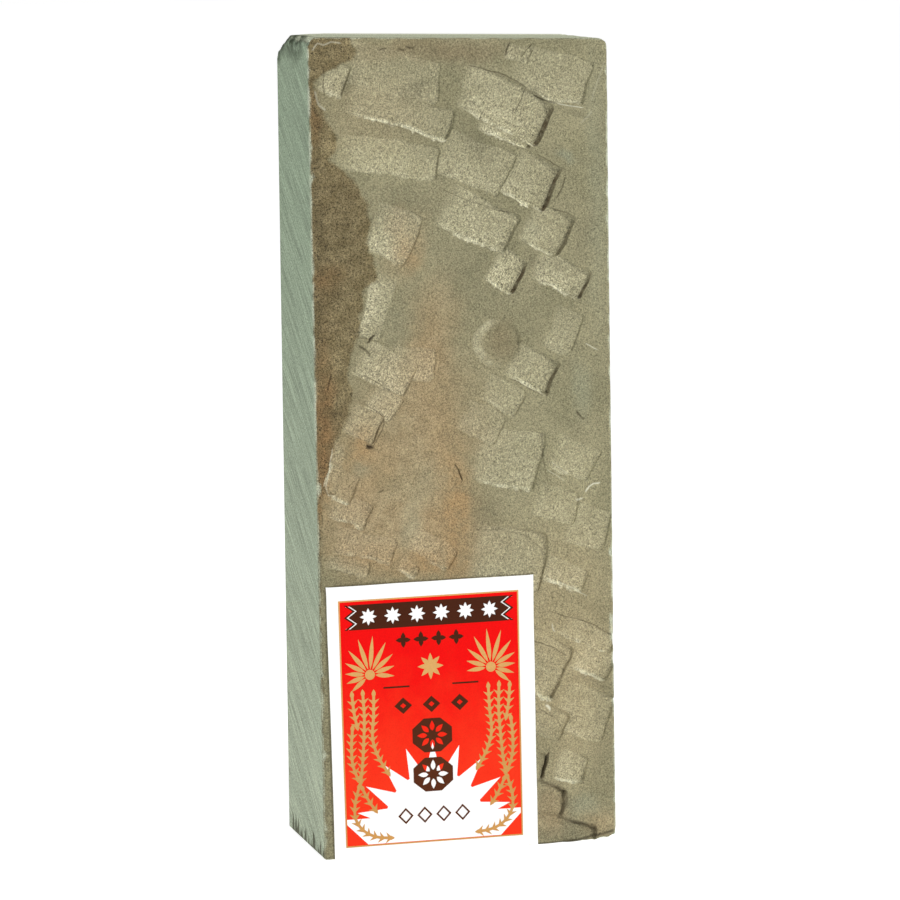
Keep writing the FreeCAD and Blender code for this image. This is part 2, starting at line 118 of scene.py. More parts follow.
STROKES = [Stroke(*row) for row in (
    # the upper right group, cut deepest
    (15.8, 190.5, -24, 17, 7.6, 1.2, 0, 0.75, 0, 0.5),
    (22.4, 183.7, -27, 25, 12.4, 1.9, 0.7, 0.8, 1, 0.9),
    (18.4, 178.7, -23, 16, 2.6, 1.6, 0.5, 1.0, 1, 0.7),
    (33.6, 194, -14, 22, 12.5, 0.5, 0.4, 0.5, 0.4, 0.1),
    (18.5, 201.5, -12, 7.5, 4.5, 0.4, 0, 0.6, 0.1, 0.4),
    (12.3, 171.2, -22, 20, 12, 0.5, 0.2, 0.6, 0.1, 0.05),
    (23.9, 167, -28, 14, 12.2, 1.5, 0.8, 0.7, 1, 0.9),
    (13.2, 156.3, -26, 21, 11.2, 0.9, 0.7, 0.8, 0.8, 0.2),
    (27.6, 154.9, -27, 13, 11.2, 1.3, 0.7, 0.55, 0.8, 0.5),
    (15.2, 145.6, -29, 9.6, 9.6, 1.3, 0.9, 1.0, 1, 0.9),
    (32.6, 142.9, -26, 16, 8.4, 1.2, 0.7, 0.8, 1, 0.8),
    # the upper left, long and shallow
    (-1.9, 184.4, -16, 30, 8, 0.6, 0.8, 0.5, 1, 0.05),
    (-5, 195, -14, 28, 11, 0.3, 0.1, 0.4, 0, 0),
    (-5.2, 175, -8, 28, 9.5, 0.5, 0.2, 0.5, 0.1, 0.2),
    (-28.8, 195.4, -22, 7, 8.6, 0.6, 0.1, 0.7, 0.4, 0.3),
    # the left edge of the smooth ground
    (-12.2, 155.5, -24, 13, 13, 0.4, 0.3, 0.8, 0.15, 0.1),
    (-25, 131.5, -108, 18, 6.5, 0.4, 0.1, 0.9, 0.1, 0.3),
    (-7.5, 124.5, -8, 12, 9, 0.25, 0.1, 0.7, 0, 0),
    (-13.5, 120.8, -27, 16, 10, 0.4, 0.2, 0.9, 0.1, 0.1),
    (-17.5, 113, -35, 9, 7, 0.3, 0.1, 0.8, 0, 0.1),
    (-22.2, 108.8, -27, 9.5, 8.5, 0.6, 0.1, 0.6, 0.1, 0.6),
    (-34.9, 93, -102, 14, 3.6, 0.5, 0.4, 0.6, 0.6, 0.1),
    (-28.8, 93.6, -30, 7, 8, 0.4, 0.4, 0.4, 0.7, 0.05),
    (-25, 86.6, -24, 11.5, 7.5, 0.4, 0.4, 0.6, 0.4, 0.1),
    (-19, 77.6, -15, 17, 7, 0.3, 0.3, 0.6, 0.2, 0.2),
    (-25, 73.5, -14, 13, 4, 0.3, 0.1, 0.5, 0.1, 0.1),
    (-13, 72, -30, 6, 4, 0.3, 0.2, 0.6, 0.3, 0.1),
    (-3.5, 74.6, -30, 14, 6.5, 0.4, 0.2, 0.55, 0.2, 0.3),
    # the middle right
    (23.6, 119.6, -28, 13.5, 9.6, 1.2, 0.7, 0.65, 0.8, 0.7),
    (29.6, 130.5, -22, 8.5, 11, 0.4, 0.1, 0.45, 0.1, 0.05),
    (15, 113.8, -27, 12, 7.5, 0.35, 0.2, 0.45, 0.2, 0.3),
    (9.5, 107, -26, 12, 9, 0.3, 0.2, 0.4, 0.1, 0.05),
    (19.8, 98.2, -14, 19, 15, 0.45, 0.6, 0.55, 0.7, 0),
    (34, 97, -24, 13, 9, 0.3, 0.3, 0.35, 0.3, 0),
    (29, 86, -18, 12, 9, 0.4, 0.2, 0.35, 0.1, 0),
    (37, 80, -18, 12, 11, 0.4, 0.1, 0.35, 0.1, 0),
    (20.4, 73, -10, 20.5, 15, 0.6, -0.4, 0.5, 0.1, 0.15),
    # beside the label
    (31, 66.8, -27, 14, 6.5, 0.35, 0.3, 0.5, 0.7, 0.05),
    (38.6, 50.2, -25, 17, 6.2, 0.5, 0.4, 0.35, 0.6, 0.1),
    (38, 44.3, -25, 12, 8, 0.7, 0.5, 0.45, 0.8, 0.1),
    (26.2, 46.5, -25, 10.5, 8.5, 0.8, 0.1, 0.3, 0.1, 0.35),
    (23.5, 40.2, -26, 9, 7.4, 1, 0.4, 0.5, 0.9, 0.5),
    (37, 30.8, -22, 15.5, 13, 0.5, -0.2, 0.35, 0.1, 0),
    (25, 29.5, -30, 10, 8, 0.6, -0.4, 0.25, 0.1, 0.15),
    (19.8, 20.4, -17, 5, 6.8, 1.2, 0.1, 0.15, 0.1, 0.5),
    (30.4, 18.6, -18, 9, 8, 0.5, 0.4, 0.55, 0.9, 0),
    (25.2, 10.6, -12, 9, 8, 1, -0.5, 0.1, 0, 0.35),
    (33, 1.8, -9, 17, 5, 1, -0.4, 0.1, 0, 0.4),
)]
# How wide the walls beside a stroke and the lip at its deep end are, how hollow its floor is, and
# how far the painted shade reaches from the foot of its end wall.
SIDE_WALL = 0.35
LIP = 0.12
HOLLOW = 0.12
SHADE_STEP = 0.15
CORNER_RADIUS = 1.3
OUTLINE_STEP = 0.8
# How much of a facet's paleness is left where a new stroke cuts it, and how far apart the strokes'
# grain patterns are taken from.
FACET_LEFT = 0.3
GRAIN_SHIFT = 40

# A thin line: a crack, a scratch, painted shade along a stroke's wall, a painted shadow at the edge of
# the label and the foot, or a painted highlight along an edge. Its points, its width, its depth, and a
# tone from -1, black, to 1, white.
LineMark = namedtuple("LineMark", "points width depth tone")

LINE_MARKS = [LineMark(*row) for row in (
    ([(-5, 110), (-4, 106), (-2.5, 101)], 0.4, 0.1, -0.25),
    ([(-2.6, 99.1), (-1.8, 97.6), (-1.2, 95)], 0.6, 0.4, -0.8),
    ([(29.4, 110.7), (31.1, 109)], 0.9, 0.5, -0.7),
    ([(-34.4, 123), (-35.3, 119)], 0.5, 0.3, -0.5),
    ([(-28.5, 124), (-22.4, 120.6), (-19.4, 118.4)], 0.5, 0.2, -0.35),
    ([(-25.4, 104.9), (-24, 104.5)], 1.4, 0.7, -0.9),
    ([(-22.3, 93.3), (-21.6, 93.8)], 0.8, 0.3, -0.7),
    ([(-24.6, 131.2), (-24, 132), (-23, 132.6)], 0.8, 0.5, -0.7),
    ([(-27, 130.2), (-25.4, 129.2), (-24.2, 127.9)], 0.9, 0.5, -0.6),
    ([(-34.6, 199.5), (-34.8, 196), (-34.6, 193)], 0.6, 0.2, -0.5),
    ([(-37, 193.6), (-36, 190.4), (-34.6, 189.4)], 0.7, -0.1, 0.35),
    # a painted highlight along the top edge at the left
    ([(-37.2, 203.4), (-36, 204.8), (-34.4, 204.4), (-32.6, 205.2), (-30.4, 205)], 0.6, -0.1, 0.35),
    # a painted highlight along the lower edge of the stroke at (34, 97)
    ([(31.6, 90.8), (32.4, 91.8), (33.6, 92.3), (35, 92.5)], 0.6, -0.1, 0.8),
    ([(29.4, 88.6), (30.4, 88.9)], 0.7, -0.1, 0.6),
    ([(32, 128.2), (34.6, 126.8)], 0.4, -0.1, 0.6),
    ([(20.2, 36.2), (20.8, 35.4)], 0.9, -0.1, 0.9),
    ([(22.2, 56.6), (22.6, 55.2)], 0.6, -0.1, 0.5),
    ([(21.5, 96.4), (25.5, 94)], 0.3, -0.05, 0.35),
    ([(22.5, 98.4), (27, 95.4)], 0.3, -0.05, 0.3),
    ([(34.2, 190), (36.4, 196), (37.6, 200)], 0.5, -0.05, 0.15),
    ([(31.6, 184.4), (34, 187)], 0.7, -0.05, 0.15),
    # a painted highlight along the lower edge of the stroke at (33.6, 194)
    ([(25.6, 189.4), (28.5, 188.6), (31.6, 188)], 0.4, -0.1, 0.6),
    # painted shade, over shallow grooves, along the upper walls and deep ends of the top strokes: this
    # row and the next two
    ([(3, 199.3), (10, 197.5), (14.5, 195.4), (17.2, 193.6)], 0.5, 0.15, -0.6),
    ([(17.2, 193.4), (15.9, 190), (14.4, 187.2)], 0.4, 0.1, -0.6),
    ([(19.6, 191.4), (22, 190.2), (24.8, 189.6)], 0.6, 0.2, -0.7),
    ([(13, 205), (12, 202.2)], 0.7, 0.3, -0.6),
    ([(18.4, 204.4), (16.2, 201.4)], 0.5, 0.2, -0.5),
    # painted shade, over shallow grooves, along strokes' upper walls and deep ends: this row and the next
    # five
    ([(20, 176.5), (23.5, 174.6), (26.3, 172.8)], 0.4, 0.1, -0.5),
    ([(27.2, 170.4), (26.2, 167.6), (24.6, 165.4)], 0.5, 0.15, -0.6),
    ([(-5, 168.8), (2.5, 165.3), (9, 163.2), (13.7, 162.3)], 0.4, 0.1, -0.45),
    ([(24, 162.6), (27, 161.6), (29.6, 160)], 0.5, 0.1, -0.5),
    ([(13.8, 155), (12.6, 152.8), (11.4, 151.2)], 0.35, 0.1, -0.4),
    ([(12, 120.3), (16, 118.2), (20.3, 115.6)], 0.35, 0.1, -0.4),
    ([(3, 82.2), (10, 81.5), (16, 79.6), (19.6, 76.8), (20.4, 72)], 0.6, 0.1, -0.3),
    ([(20.4, 106), (20, 100), (21, 95.2), (21.9, 92), (20.4, 90.2)], 0.5, 0.1, -0.35),
    # painted shade, over shallow grooves, along strokes' upper walls: this row and the next
    ([(21.6, 60.2), (26, 58.8), (30, 57.4), (33.5, 55.9), (38.2, 53)], 0.5, 0.15, -0.45),
    ([(17.4, 52.8), (20.5, 51.2), (23.2, 50.2), (25.4, 48.8)], 0.5, 0.15, -0.55),
    # a painted highlight along the lower edge of the stroke at (31, 66.8)
    ([(24, 67.6), (27, 66), (31, 63.6)], 0.35, -0.1, 0.4),
    # painted shade, over shallow grooves, along strokes' upper walls and deep ends: this row and the next
    # four
    ([(18.2, 35.2), (21, 33.8), (23.4, 32), (24.6, 29.6)], 0.6, 0.15, -0.4),
    ([(20.6, 23.6), (19.8, 20.4), (18.6, 17)], 0.7, 0.4, -0.7),
    ([(17.6, 16.8), (20.2, 15.8), (22.6, 15), (25.2, 12.9)], 1.3, 0.3, -0.45),
    ([(25.2, 12.9), (25.3, 10), (24, 6.8)], 1.6, 0.3, -0.45),
    ([(23, 6.6), (27, 5.4), (30, 4.7), (33.2, 2.6)], 1.3, 0.3, -0.6),
    # painted shade, over shallow grooves, along the upper wall and deep end of the stroke at (-22.2,
    # 108.8): this row and the next
    ([(-26.2, 116), (-23, 113.8), (-21, 112.2)], 0.4, 0.1, -0.45),
    ([(-21, 111.6), (-21.4, 109), (-23.6, 105.2)], 0.4, 0.15, -0.6),
    ([(-37, 76.6), (-32, 75.6), (-27, 74)], 0.4, 0.1, -0.4),
    ([(-34.4, 104.2), (-35.4, 99), (-36, 95), (-35.5, 93)], 0.4, -0.1, 0.4),
    ([(-20.2, 203.4), (-19, 203.7)], 0.6, 0.2, -0.6),
    ([(-15.4, 203.7), (-14.4, 203.3)], 0.8, 0.2, -0.7),
    ([(-13.2, 203.9), (-12, 203.7)], 0.9, 0.2, -0.8),
    # a painted shadow along the label's left and top edges
    ([(-36.2, 0.6), (-37.2, 70), (17.2, 70.3)], 0.6, 0, -0.5),
    # a painted shadow along the foot, right of the label
    ([(17.6, 0.2), (28, 0.2), (31, 0.8), (37.6, 2.2)], 1.1, 0, -0.7),
)]

# The round dip: the rim's centre and radius, the floor's centre and radius, and its depth.
DIP_RIM = (8.4, 129.6)
DIP_RIM_RADIUS = 6.6
DIP_FLOOR = (10.2, 129.6)
DIP_FLOOR_RADIUS = 4.4
DIP_DEPTH = 0.8

# The mean depths of the ground and the natural skin, and how much the skin fills the strokes.
GROUND_DEPTH = 0.3
SKIN_DEPTH = 0.42
SKIN_FILL = 0.6

# Soft patches of colour, by what they change. Each is its middle (x, z), its half length and half
# width, the heading of its length, and by how much it changes the colour.
PATCHES = {
    # The light patches lighten or darken the stone's tone; some of the dark ones to the right of the
    # strokes' deep ends, such as the one at (32, 156), are painted shade.
    "light": [
        (-15, 195, 16, 6, -10, 0.05), (-21, 177, 14, 5, -14, 0.45), (-11, 193.8, 4.2, 1.4, 35, -0.7),
        (-3.5, 172.3, 2.2, 1.1, 65, -0.8), (0, 202.5, 11, 3, 0, -0.8), (-19, 203, 8, 1.8, 0, -0.3),
        (-28, 195.5, 4.6, 1.1, 72, -0.8), (-12, 183.6, 10, 1.2, -12, -0.35),
        (-14, 164, 11, 4.5, 0, -0.35), (4.5, 180, 5, 3, -40, -0.55), (19.4, 192.2, 1.8, 1.5, -30, -0.6),
        (30.5, 187, 3.5, 1.1, -20, -0.45), (29, 181.5, 6.5, 4, -20, 0.25), (5, 147, 12, 9, -30, -0.25),
        (32, 156, 6, 2.6, 75, -0.45), (18.6, 149.6, 1.9, 1.1, 60, -0.6),
        (23.5, 148.4, 3.6, 1.2, -20, -0.45), (28.5, 106.5, 5, 2.6, -55, -0.45), (5, 87, 5, 4, -20, -0.45),
        (-14, 86, 9, 6, 80, 0.25), (32.5, 40.8, 7, 1.5, -27, -0.6), (34.5, 27, 6, 3, 80, -0.2),
        (20.5, 10.5, 4, 3.4, 80, -0.45), (26.4, 8.2, 4.2, 1.5, 80, -0.5), (25, 2.6, 8.5, 1.8, -5, -0.7),
        (35.2, 5.8, 3, 2.2, 0, 0.35), (-36.2, 187.5, 4, 1.3, 80, -0.6), (-31, 156, 14, 5, 85, -0.3),
        (-36.8, 150, 44, 1.6, 90, -0.45), (-31.5, 114, 5, 1, 45, -0.45), (-33.5, 126, 8, 3.5, 85, 0.25),
        (10.5, 129.6, 5, 4.2, 90, -0.45), (11, 148, 5.5, 4.5, -29, 0.35), (34, 155, 40, 5, 90, 0.15),
        (28, 62, 46, 13, 90, 0.55), (27, 34, 26, 10, 90, 0.38), (16, 98, 26, 20, 90, 0.2),
        (-16, 96, 26, 15, 90, 0.22),
    ],
    "warm": [
        (10.5, 129.6, 5, 4.4, 90, 0.4), (-30, 88, 20, 7, 88, 0.6), (-12, 108, 24, 17, 90, 0.8),
        (-14, 80, 22, 11, 0, 0.85), (-15, 154, 9, 4.5, 60, 0.45), (-17, 161, 4, 2.4, 90, 0.45),
        (-7, 136, 12, 6, 85, 0.6), (-22, 189, 16, 10, 0, 0.25), (-8, 203, 20, 3, 0, 0.5),
        (34, 5, 5, 3.5, 0, 0.6), (21, 8, 6, 5, 90, 0.6), (26, 50, 32, 14, 90, 0.45),
    ],
    "rust": [
        (-2.6, 87, 13, 3, 90, 0.34), (-4, 90, 20, 6, 92, 0.3), (-9, 122, 20, 5.5, 100, 0.16),
        (-26, 105, 5, 4, 0, 0.35), (-30, 100, 12, 5, 80, 0.25), (-14, 153, 5, 3, 100, 0.35),
        (-20, 76, 16, 4, -10, 0.35), (-8, 73, 8, 4, -20, 0.3), (-36.5, 108, 24, 2.6, 88, 0.55),
        (-34.5, 147, 4, 3.5, 60, 0.4), (-37, 187, 6, 1.4, 85, 0.45), (-22, 98, 8, 3, 60, 0.25),
    ],
    "grey": [
        (31, 116.5, 7, 2.6, 98, 0.6), (-17, 134.5, 7, 4.5, 70, 0.3), (-9, 95, 7, 4, 80, 0.35),
        (-15, 84, 8, 3, 80, 0.5), (27.5, 175.4, 3, 1.3, -10, 0.9), (30, 9, 4, 3, 0, 0.7),
        (18.5, 157, 3, 2, 90, 0.45), (-28, 99.5, 3.5, 2, 90, 0.55), (35.5, 168, 34, 3, 90, 0.45),
    ],
}
PATCH_FALL = 1.5

# The dark natural skin down the left of the worked face ends at these (z, x) points.
SKIN_EDGE = [
    (70, -38.6), (80, -38.2), (90, -37.6), (96, -36.4), (101, -35.0), (107, -33.6), (110, -32.0),
    (113, -30.4), (116, -29.4), (119, -29.2), (122, -30.4), (127, -29.8), (131, -27.6), (135, -27.0),
    (140, -26.2), (144, -25.2), (147, -22.7), (149.5, -22.0), (152, -23.4), (156, -25.0), (160, -24.2),
    (166, -24.2), (169, -25.6), (172, -28.2), (174.5, -31.0), (177, -34.2), (179, -32.8),
    (182, -32.1), (185, -33.2), (186.5, -34.6), (189, -34.8), (191, -36.4), (196, -37.2),
    (198, -35.0), (200, -30.5), (201.5, -27.2), (204, -26.6), (206, -28.0),
]
SKIN_FADE = 0.45


def turned(x, z, heading):
    angle = math.radians(heading)
    return (x * math.cos(angle) - z * math.sin(angle), x * math.sin(angle) + z * math.cos(angle))


def wander(x, z):
    """How far the strokes' straight outlines stray at each place, as a hand does."""
    return tuple(layered(x, z, seed, (0.5, 6.0), (0.16, 1.9)) for seed in (41, 43))


def end_wall(stroke):
    """How wide the sloping wall at a stroke's deep end is."""
    return 0.2 + 0.14 * stroke.rise ** 1.7


def stroke_coordinates(stroke, x, z):
    """How far along a stroke, from its deep end, and how far above its centre line points lie."""
    across, up = wander(x, z)
    return turned(x - across - stroke.x, z - up - stroke.z, -stroke.heading)


def inside_stroke(stroke, along, above):
    """How far inside a stroke's outline, a rectangle with rounded corners, points lie."""
    half_length, half_width = stroke.length / 2, stroke.width / 2
    beside = np.abs(along + half_length) - half_length + CORNER_RADIUS
    beyond = np.abs(above) - half_width + CORNER_RADIUS
    outer = np.hypot(np.maximum(beside, 0), np.maximum(beyond, 0))
    return CORNER_RADIUS - outer - np.minimum(np.maximum(beside, beyond), 0)


def polyline_distance(points, x, z):
    """The distance from each place to a polyline."""
    best = np.full(np.shape(x), np.inf)
    for (x0, z0), (x1, z1) in zip(points, points[1:]):
        dx, dz = x1 - x0, z1 - z0
        t = np.clip(((x - x0) * dx + (z - z0) * dz) / (dx * dx + dz * dz), 0, 1)
        best = np.minimum(best, np.hypot(x - x0 - t * dx, z - z0 - t * dz))
    return best


LABEL_LOW, LABEL_HIGH = (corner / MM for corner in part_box("label_paper"))


def outside_label(x, z):
    """How far outside the label's rectangle points lie; negative inside it."""
    beside = np.maximum(LABEL_LOW.x - x, x - LABEL_HIGH.x)
    return np.maximum(beside, z - LABEL_HIGH.z)


def dip_share(x, z):
    """How much of the round dip's depth is reached at each point, from 0 to 1."""
    inside_rim = DIP_RIM_RADIUS - np.hypot(x - DIP_RIM[0], z - DIP_RIM[1])
    outside_floor = np.hypot(x - DIP_FLOOR[0], z - DIP_FLOOR[1]) - DIP_FLOOR_RADIUS
    inside_rim = np.maximum(inside_rim, 0)
    outside_floor = np.maximum(outside_floor, 0)
    return inside_rim / (inside_rim + outside_floor + 1e-6)


def skin_share(x, z):
    """Where the dark natural skin lies, from 0 to 1, with a ragged edge."""
    heights, edges = zip(*SKIN_EDGE)
    edge = np.interp(z, heights, edges) + layered(x, z, 31, (0.7, 2.3), (0.3, 0.9))
    return ramp(edge - x, -SKIN_FADE, SKIN_FADE)


def painted(channel, x, z):
    """The sum of one channel's soft patches, with wavering edges."""
    x = x + layered(x, z, 51, (1.1, 5.0), (0.5, 1.8))
    z = z + layered(x, z, 53, (1.1, 5.0), (0.5, 1.8))
    total = np.zeros(np.shape(x))
    for middle_x, middle_z, half_length, half_width, heading, amount in PATCHES[channel]:
        along, across = turned(x - middle_x, z - middle_z, -heading)
        nearness = (along / half_length) ** 2 + (across / half_width) ** 2
        total = total + amount * np.exp(-nearness ** PATCH_FALL)
    return total


def stroke_depth(stroke, along, share, inside):
    """One stroke's depth: deepest at its end and on its leaning side, and slightly hollow."""
    progress = np.clip(1 + along / stroke.length, 0, 1)
    wall_width = SIDE_WALL + (end_wall(stroke) - SIDE_WALL) * ramp(along, -2.2, -0.6)
    tilt = abs(stroke.lean) * (0.5 - math.copysign(1, stroke.lean) * share)
    hollow = HOLLOW * (1 - 4 * share * share)
    return (stroke.rise + tilt + hollow) * progress * np.clip(inside / wall_width, 0, 1)


def pale_and_lit_floor(stroke, progress, share, inside):
    """How pale a stroke's floor is: partly the fresh-cut stone, and partly painted light that makes it
    paler along its lower half.
    """
    pale_share = stroke.pale * ramp(progress, 0, 0.22) * ramp(inside, -0.1, 0.5)
    return pale_share * (0.6 + 0.4 * ramp(share, 0.3, -0.5))


def lit_lower_edge(stroke, progress, above, broken):
    """The painted highlight along a stroke's lower edge, thickest towards its deep end."""
    above_foot = above + stroke.width / 2
    return stroke.crumb * broken * ramp(above_foot, 1.15, 0.35) * ramp(progress, 0.1, 0.45)


def dark_corner(stroke, along, share, broken):
    """The painted shade in the corner of a stroke's deep end, mostly in its lower part."""
    past_foot = along + end_wall(stroke) + SHADE_STEP
    in_corner = np.clip(past_foot / SHADE_STEP, 0, 1) * np.clip(-along / LIP, 0, 1)
    in_corner = in_corner * (0.45 + 0.55 * ramp(share, 0.5, 0.1))
    return stroke.grime * in_corner * (0.6 + 0.4 * broken)


def cut_strokes(x, z):
    """The chisel strokes' depth at each point, and the masks that come with it."""
    cut = np.zeros(np.shape(x))
    masks = {name: cut for name in ("facet", "rim", "dirt", "grain_u", "grain_v")}
    broken = ramp(layered(x, z, 61, (1.0, 1.1), (0.5, 3.0)), -0.8, 0.3)
    for number, stroke in enumerate(STROKES):
        along, above = stroke_coordinates(stroke, x, z)
        inside = inside_stroke(stroke, along, above)
        progress = np.clip(1 + along / stroke.length, 0, 1)
        share = above / stroke.width
        here = stroke_depth(stroke, along, share, inside)
        pale_share = pale_and_lit_floor(stroke, progress, share, inside)
        found = {
            "facet": np.maximum(pale_share, FACET_LEFT * masks["facet"]),
            "rim": lit_lower_edge(stroke, progress, above, broken),
            "dirt": dark_corner(stroke, along, share, broken),
            "grain_u": along + GRAIN_SHIFT * number,
            "grain_v": above,
        }
        wins = here > cut
        cut = np.where(wins, here, cut)
        for name, values in found.items():
            masks[name] = np.where(wins, values, masks[name])
    return cut, masks


def cut_dip(x, z, cut, masks):
    """Add the round dip to the strokes' depth, and a painted highlight on its left rim, speckled and
    pale, to their masks.
    """
    dip = dip_share(x, z)
    highlight_speckle = ramp(noise(x, z, 1.0, 63), -0.3, 0.6)
    on_left = ramp(x, DIP_FLOOR[0] + 1, DIP_FLOOR[0] - 5)
    # A painted highlight on the dip's left slope, which faces the lamp.
    in_rim = ramp(dip, 0.0, 0.3) * ramp(dip, 0.98, 0.6) * on_left
    masks["rim"] = np.maximum(masks["rim"], 0.12 * highlight_speckle * in_rim)
    masks["facet"] = np.maximum(masks["facet"], 0.5 * in_rim)
    return np.maximum(cut, DIP_DEPTH * dip * (1 + 0.25 * noise(x, z, 1.8, 64)))


def cut_line_marks(x, z, depth):
    """The depth with the lines cut in, and their tones: cracks, scratches, painted shade and painted
    highlights.
    """
    line = np.zeros(np.shape(x))
    for line_mark in LINE_MARKS:
        near = np.clip(1 - polyline_distance(line_mark.points, x, z) / (line_mark.width / 2), 0, 1)
        near = near * (0.45 + 0.55 * ramp(noise(x, z, 2.6, 65), -0.5, 0.3))
        depth = depth + line_mark.depth * near
        line = np.where(near > 0.02, line_mark.tone * np.minimum(near * 2, 1), line)
    return depth, line


def worked_face(x, z):
    """The worked face's depth at each point, and the masks that its material uses."""
    ground = GROUND_DEPTH + layered(x, z, 1, (0.14, 17), (0.09, 6))
    cut, masks = cut_strokes(x, z)
    cut = cut_dip(x, z, cut, masks)
    skin = skin_share(x, z)
    skin_relief = SKIN_DEPTH + layered(x, z, 3, (0.28, 3.2), (0.2, 1.5))
    depth = ground + cut * (1 - SKIN_FILL * skin) + skin * skin_relief
    depth, masks["line"] = cut_line_marks(x, z, depth)
    depth = depth * ramp(outside_label(x, z), 0.0, 1.6)
    masks["facet"] = masks["facet"] * (1 - skin)
    masks["skin"] = skin
    for channel in PATCHES:
        masks[channel] = np.clip(painted(channel, x, z), -1, 1)
    return np.maximum(depth, 0), masks


# ---- The stone's mesh ----

FINE_STEP = 0.6
COARSE_STEP = 2.0
NEAR_EDGE = (0.0, 0.35, 0.8, 1.4)
EDGE_BAND = 2.0
GRID_SEED = 20
GRID_JITTER = 0.3
SAME_PLACE = 1e-5
# Chains keep this far from the face's edges, and end this far under the label.
CHAIN_MARGIN = 0.25
UNDER_LABEL = 1.5
# Far under the label only one grid point in this many is kept.
HIDDEN_INSET = 2
HIDDEN_SHARE = 7


def ticks(low, high, step):
    """Positions from low to high, closer together beside both ends."""
    count = max(2, round((high - low - 2 * EDGE_BAND) / step))
    middle = np.linspace(low + EDGE_BAND, high - EDGE_BAND, count)
    near = np.array(NEAR_EDGE)
    return np.round(np.concatenate([low + near, middle, high - near[::-1]]), 4)


def grid(columns, rows, low, high):
    """Every crossing of the columns and rows; those inside the edge bands are moved a little."""
    u, v = (part.ravel() for part in np.meshgrid(columns, rows, indexing="ij"))
    random = np.random.default_rng(GRID_SEED)
    inner = (u > low[0] + EDGE_BAND) & (u < high[0] - EDGE_BAND)
    inner &= (v > low[1] + EDGE_BAND) & (v < high[1] - EDGE_BAND)
    jitter = GRID_JITTER * (columns[len(columns) // 2 + 1] - columns[len(columns) // 2])
    u = u + inner * random.uniform(-jitter, jitter, u.size)
    v = v + inner * random.uniform(-jitter, jitter, v.size)
    return np.column_stack([u, v])


def rows_from_edge(fine, coarse, depths):
    """Points row by row away from the worked face, fine beside it and coarse further back."""
    points = []
    for depth in depths:
        along = fine if depth < EDGE_BAND else coarse
        points += [(position, depth) for position in along]
    return np.array(points)


def triangulate(points, chains=()):
    """Triangulate a convex patch through every point and along every chain."""
    vertices = [Vector(point) for point in points]
    edges = []
    for chain in chains:
        first = len(vertices)
        vertices += [Vector(point) for point in chain]
        edges += [(first + k, first + k + 1) for k in range(len(chain) - 1)]
    placed, _, faces, *_ = delaunay_2d_cdt(vertices, edges, [], 0, SAME_PLACE)
    return np.array([tuple(v) for v in placed]), np.array([f for f in faces if len(f) == 3])


def sampled(corners, closed=True):
    """Points every OUTLINE_STEP along a polygon or an open line."""
    points = []
    ends = corners[1:] + corners[:1] if closed else corners[1:]
    for (x0, z0), (x1, z1) in zip(corners, ends):
        count = max(1, round(math.hypot(x1 - x0, z1 - z0) / OUTLINE_STEP))
        points += [(x0 + (x1 - x0) * k / count, z0 + (z1 - z0) * k / count) for k in range(count)]
    points.append(corners[0] if closed else corners[-1])
    return points


def rounded_rectangle(low, high, half_width, radius):
    """The outline of a rectangle that reaches from low to high along its first axis."""
    corners = []
    for x, z, first_angle in (
        (high - radius, radius - half_width, -90),
        (high - radius, half_width - radius, 0),
        (low + radius, half_width - radius, 90),
        (low + radius, radius - half_width, 180),
    ):
        for angle in (0, 30, 60, 90):
            dx, dz = turned(radius, 0, first_angle + angle)
            corners.append((x + dx, z + dz))
    return corners


def stroke_outline(stroke, end_inset, side_inset):
    """A stroke's outline on the face, or a line inside it, straying a little as a hand does."""
    half_width = stroke.width / 2 - side_inset
    radius = min(max(CORNER_RADIUS - side_inset, 0.2), half_width)
    corners = rounded_rectangle(side_inset - stroke.length, -end_inset, half_width, radius)
    placed = []
    for along, above in sampled(corners):
        x, z = turned(along, above, stroke.heading)
        x, z = x + stroke.x, z + stroke.z
        across, up = wander(x, z)
        placed.append((x + float(across), z + float(up)))
    return placed


def circle(centre, radius):
    """A closed ring of points about every OUTLINE_STEP."""
    count = round(2 * math.pi * radius / OUTLINE_STEP)
    angles = [2 * math.pi * k / count for k in range(count + 1)]
    return [(centre[0] + radius * math.cos(a), centre[1] + radius * math.sin(a)) for a in angles]


def offset_line(points, offset):
    """A short open line moved sideways from its points."""
    moved = []
    for number, (x, z) in enumerate(points):
        before = points[max(number - 1, 0)]
        after = points[min(number + 1, len(points) - 1)]
        dx, dz = after[0] - before[0], after[1] - before[1]
        size = math.hypot(dx, dz)
        moved.append((x - offset * dz / size, z + offset * dx / size))
    return sampled(moved, closed=False)


def split_chain(chain):
    """The stretches of a chain that lie on the open worked face, clear of its edges and the label."""
    pieces, current = [], []
    for x, z in chain:
        inside = abs(x) < HALF_WIDTH - CHAIN_MARGIN and CHAIN_MARGIN < z < LENGTH - CHAIN_MARGIN
        if inside and outside_label(x, z) > -UNDER_LABEL:
            current.append((x, z))
        else:
            pieces.append(current)
            current = []
    pieces.append(current)
    return [piece for piece in pieces if len(piece) > 1]


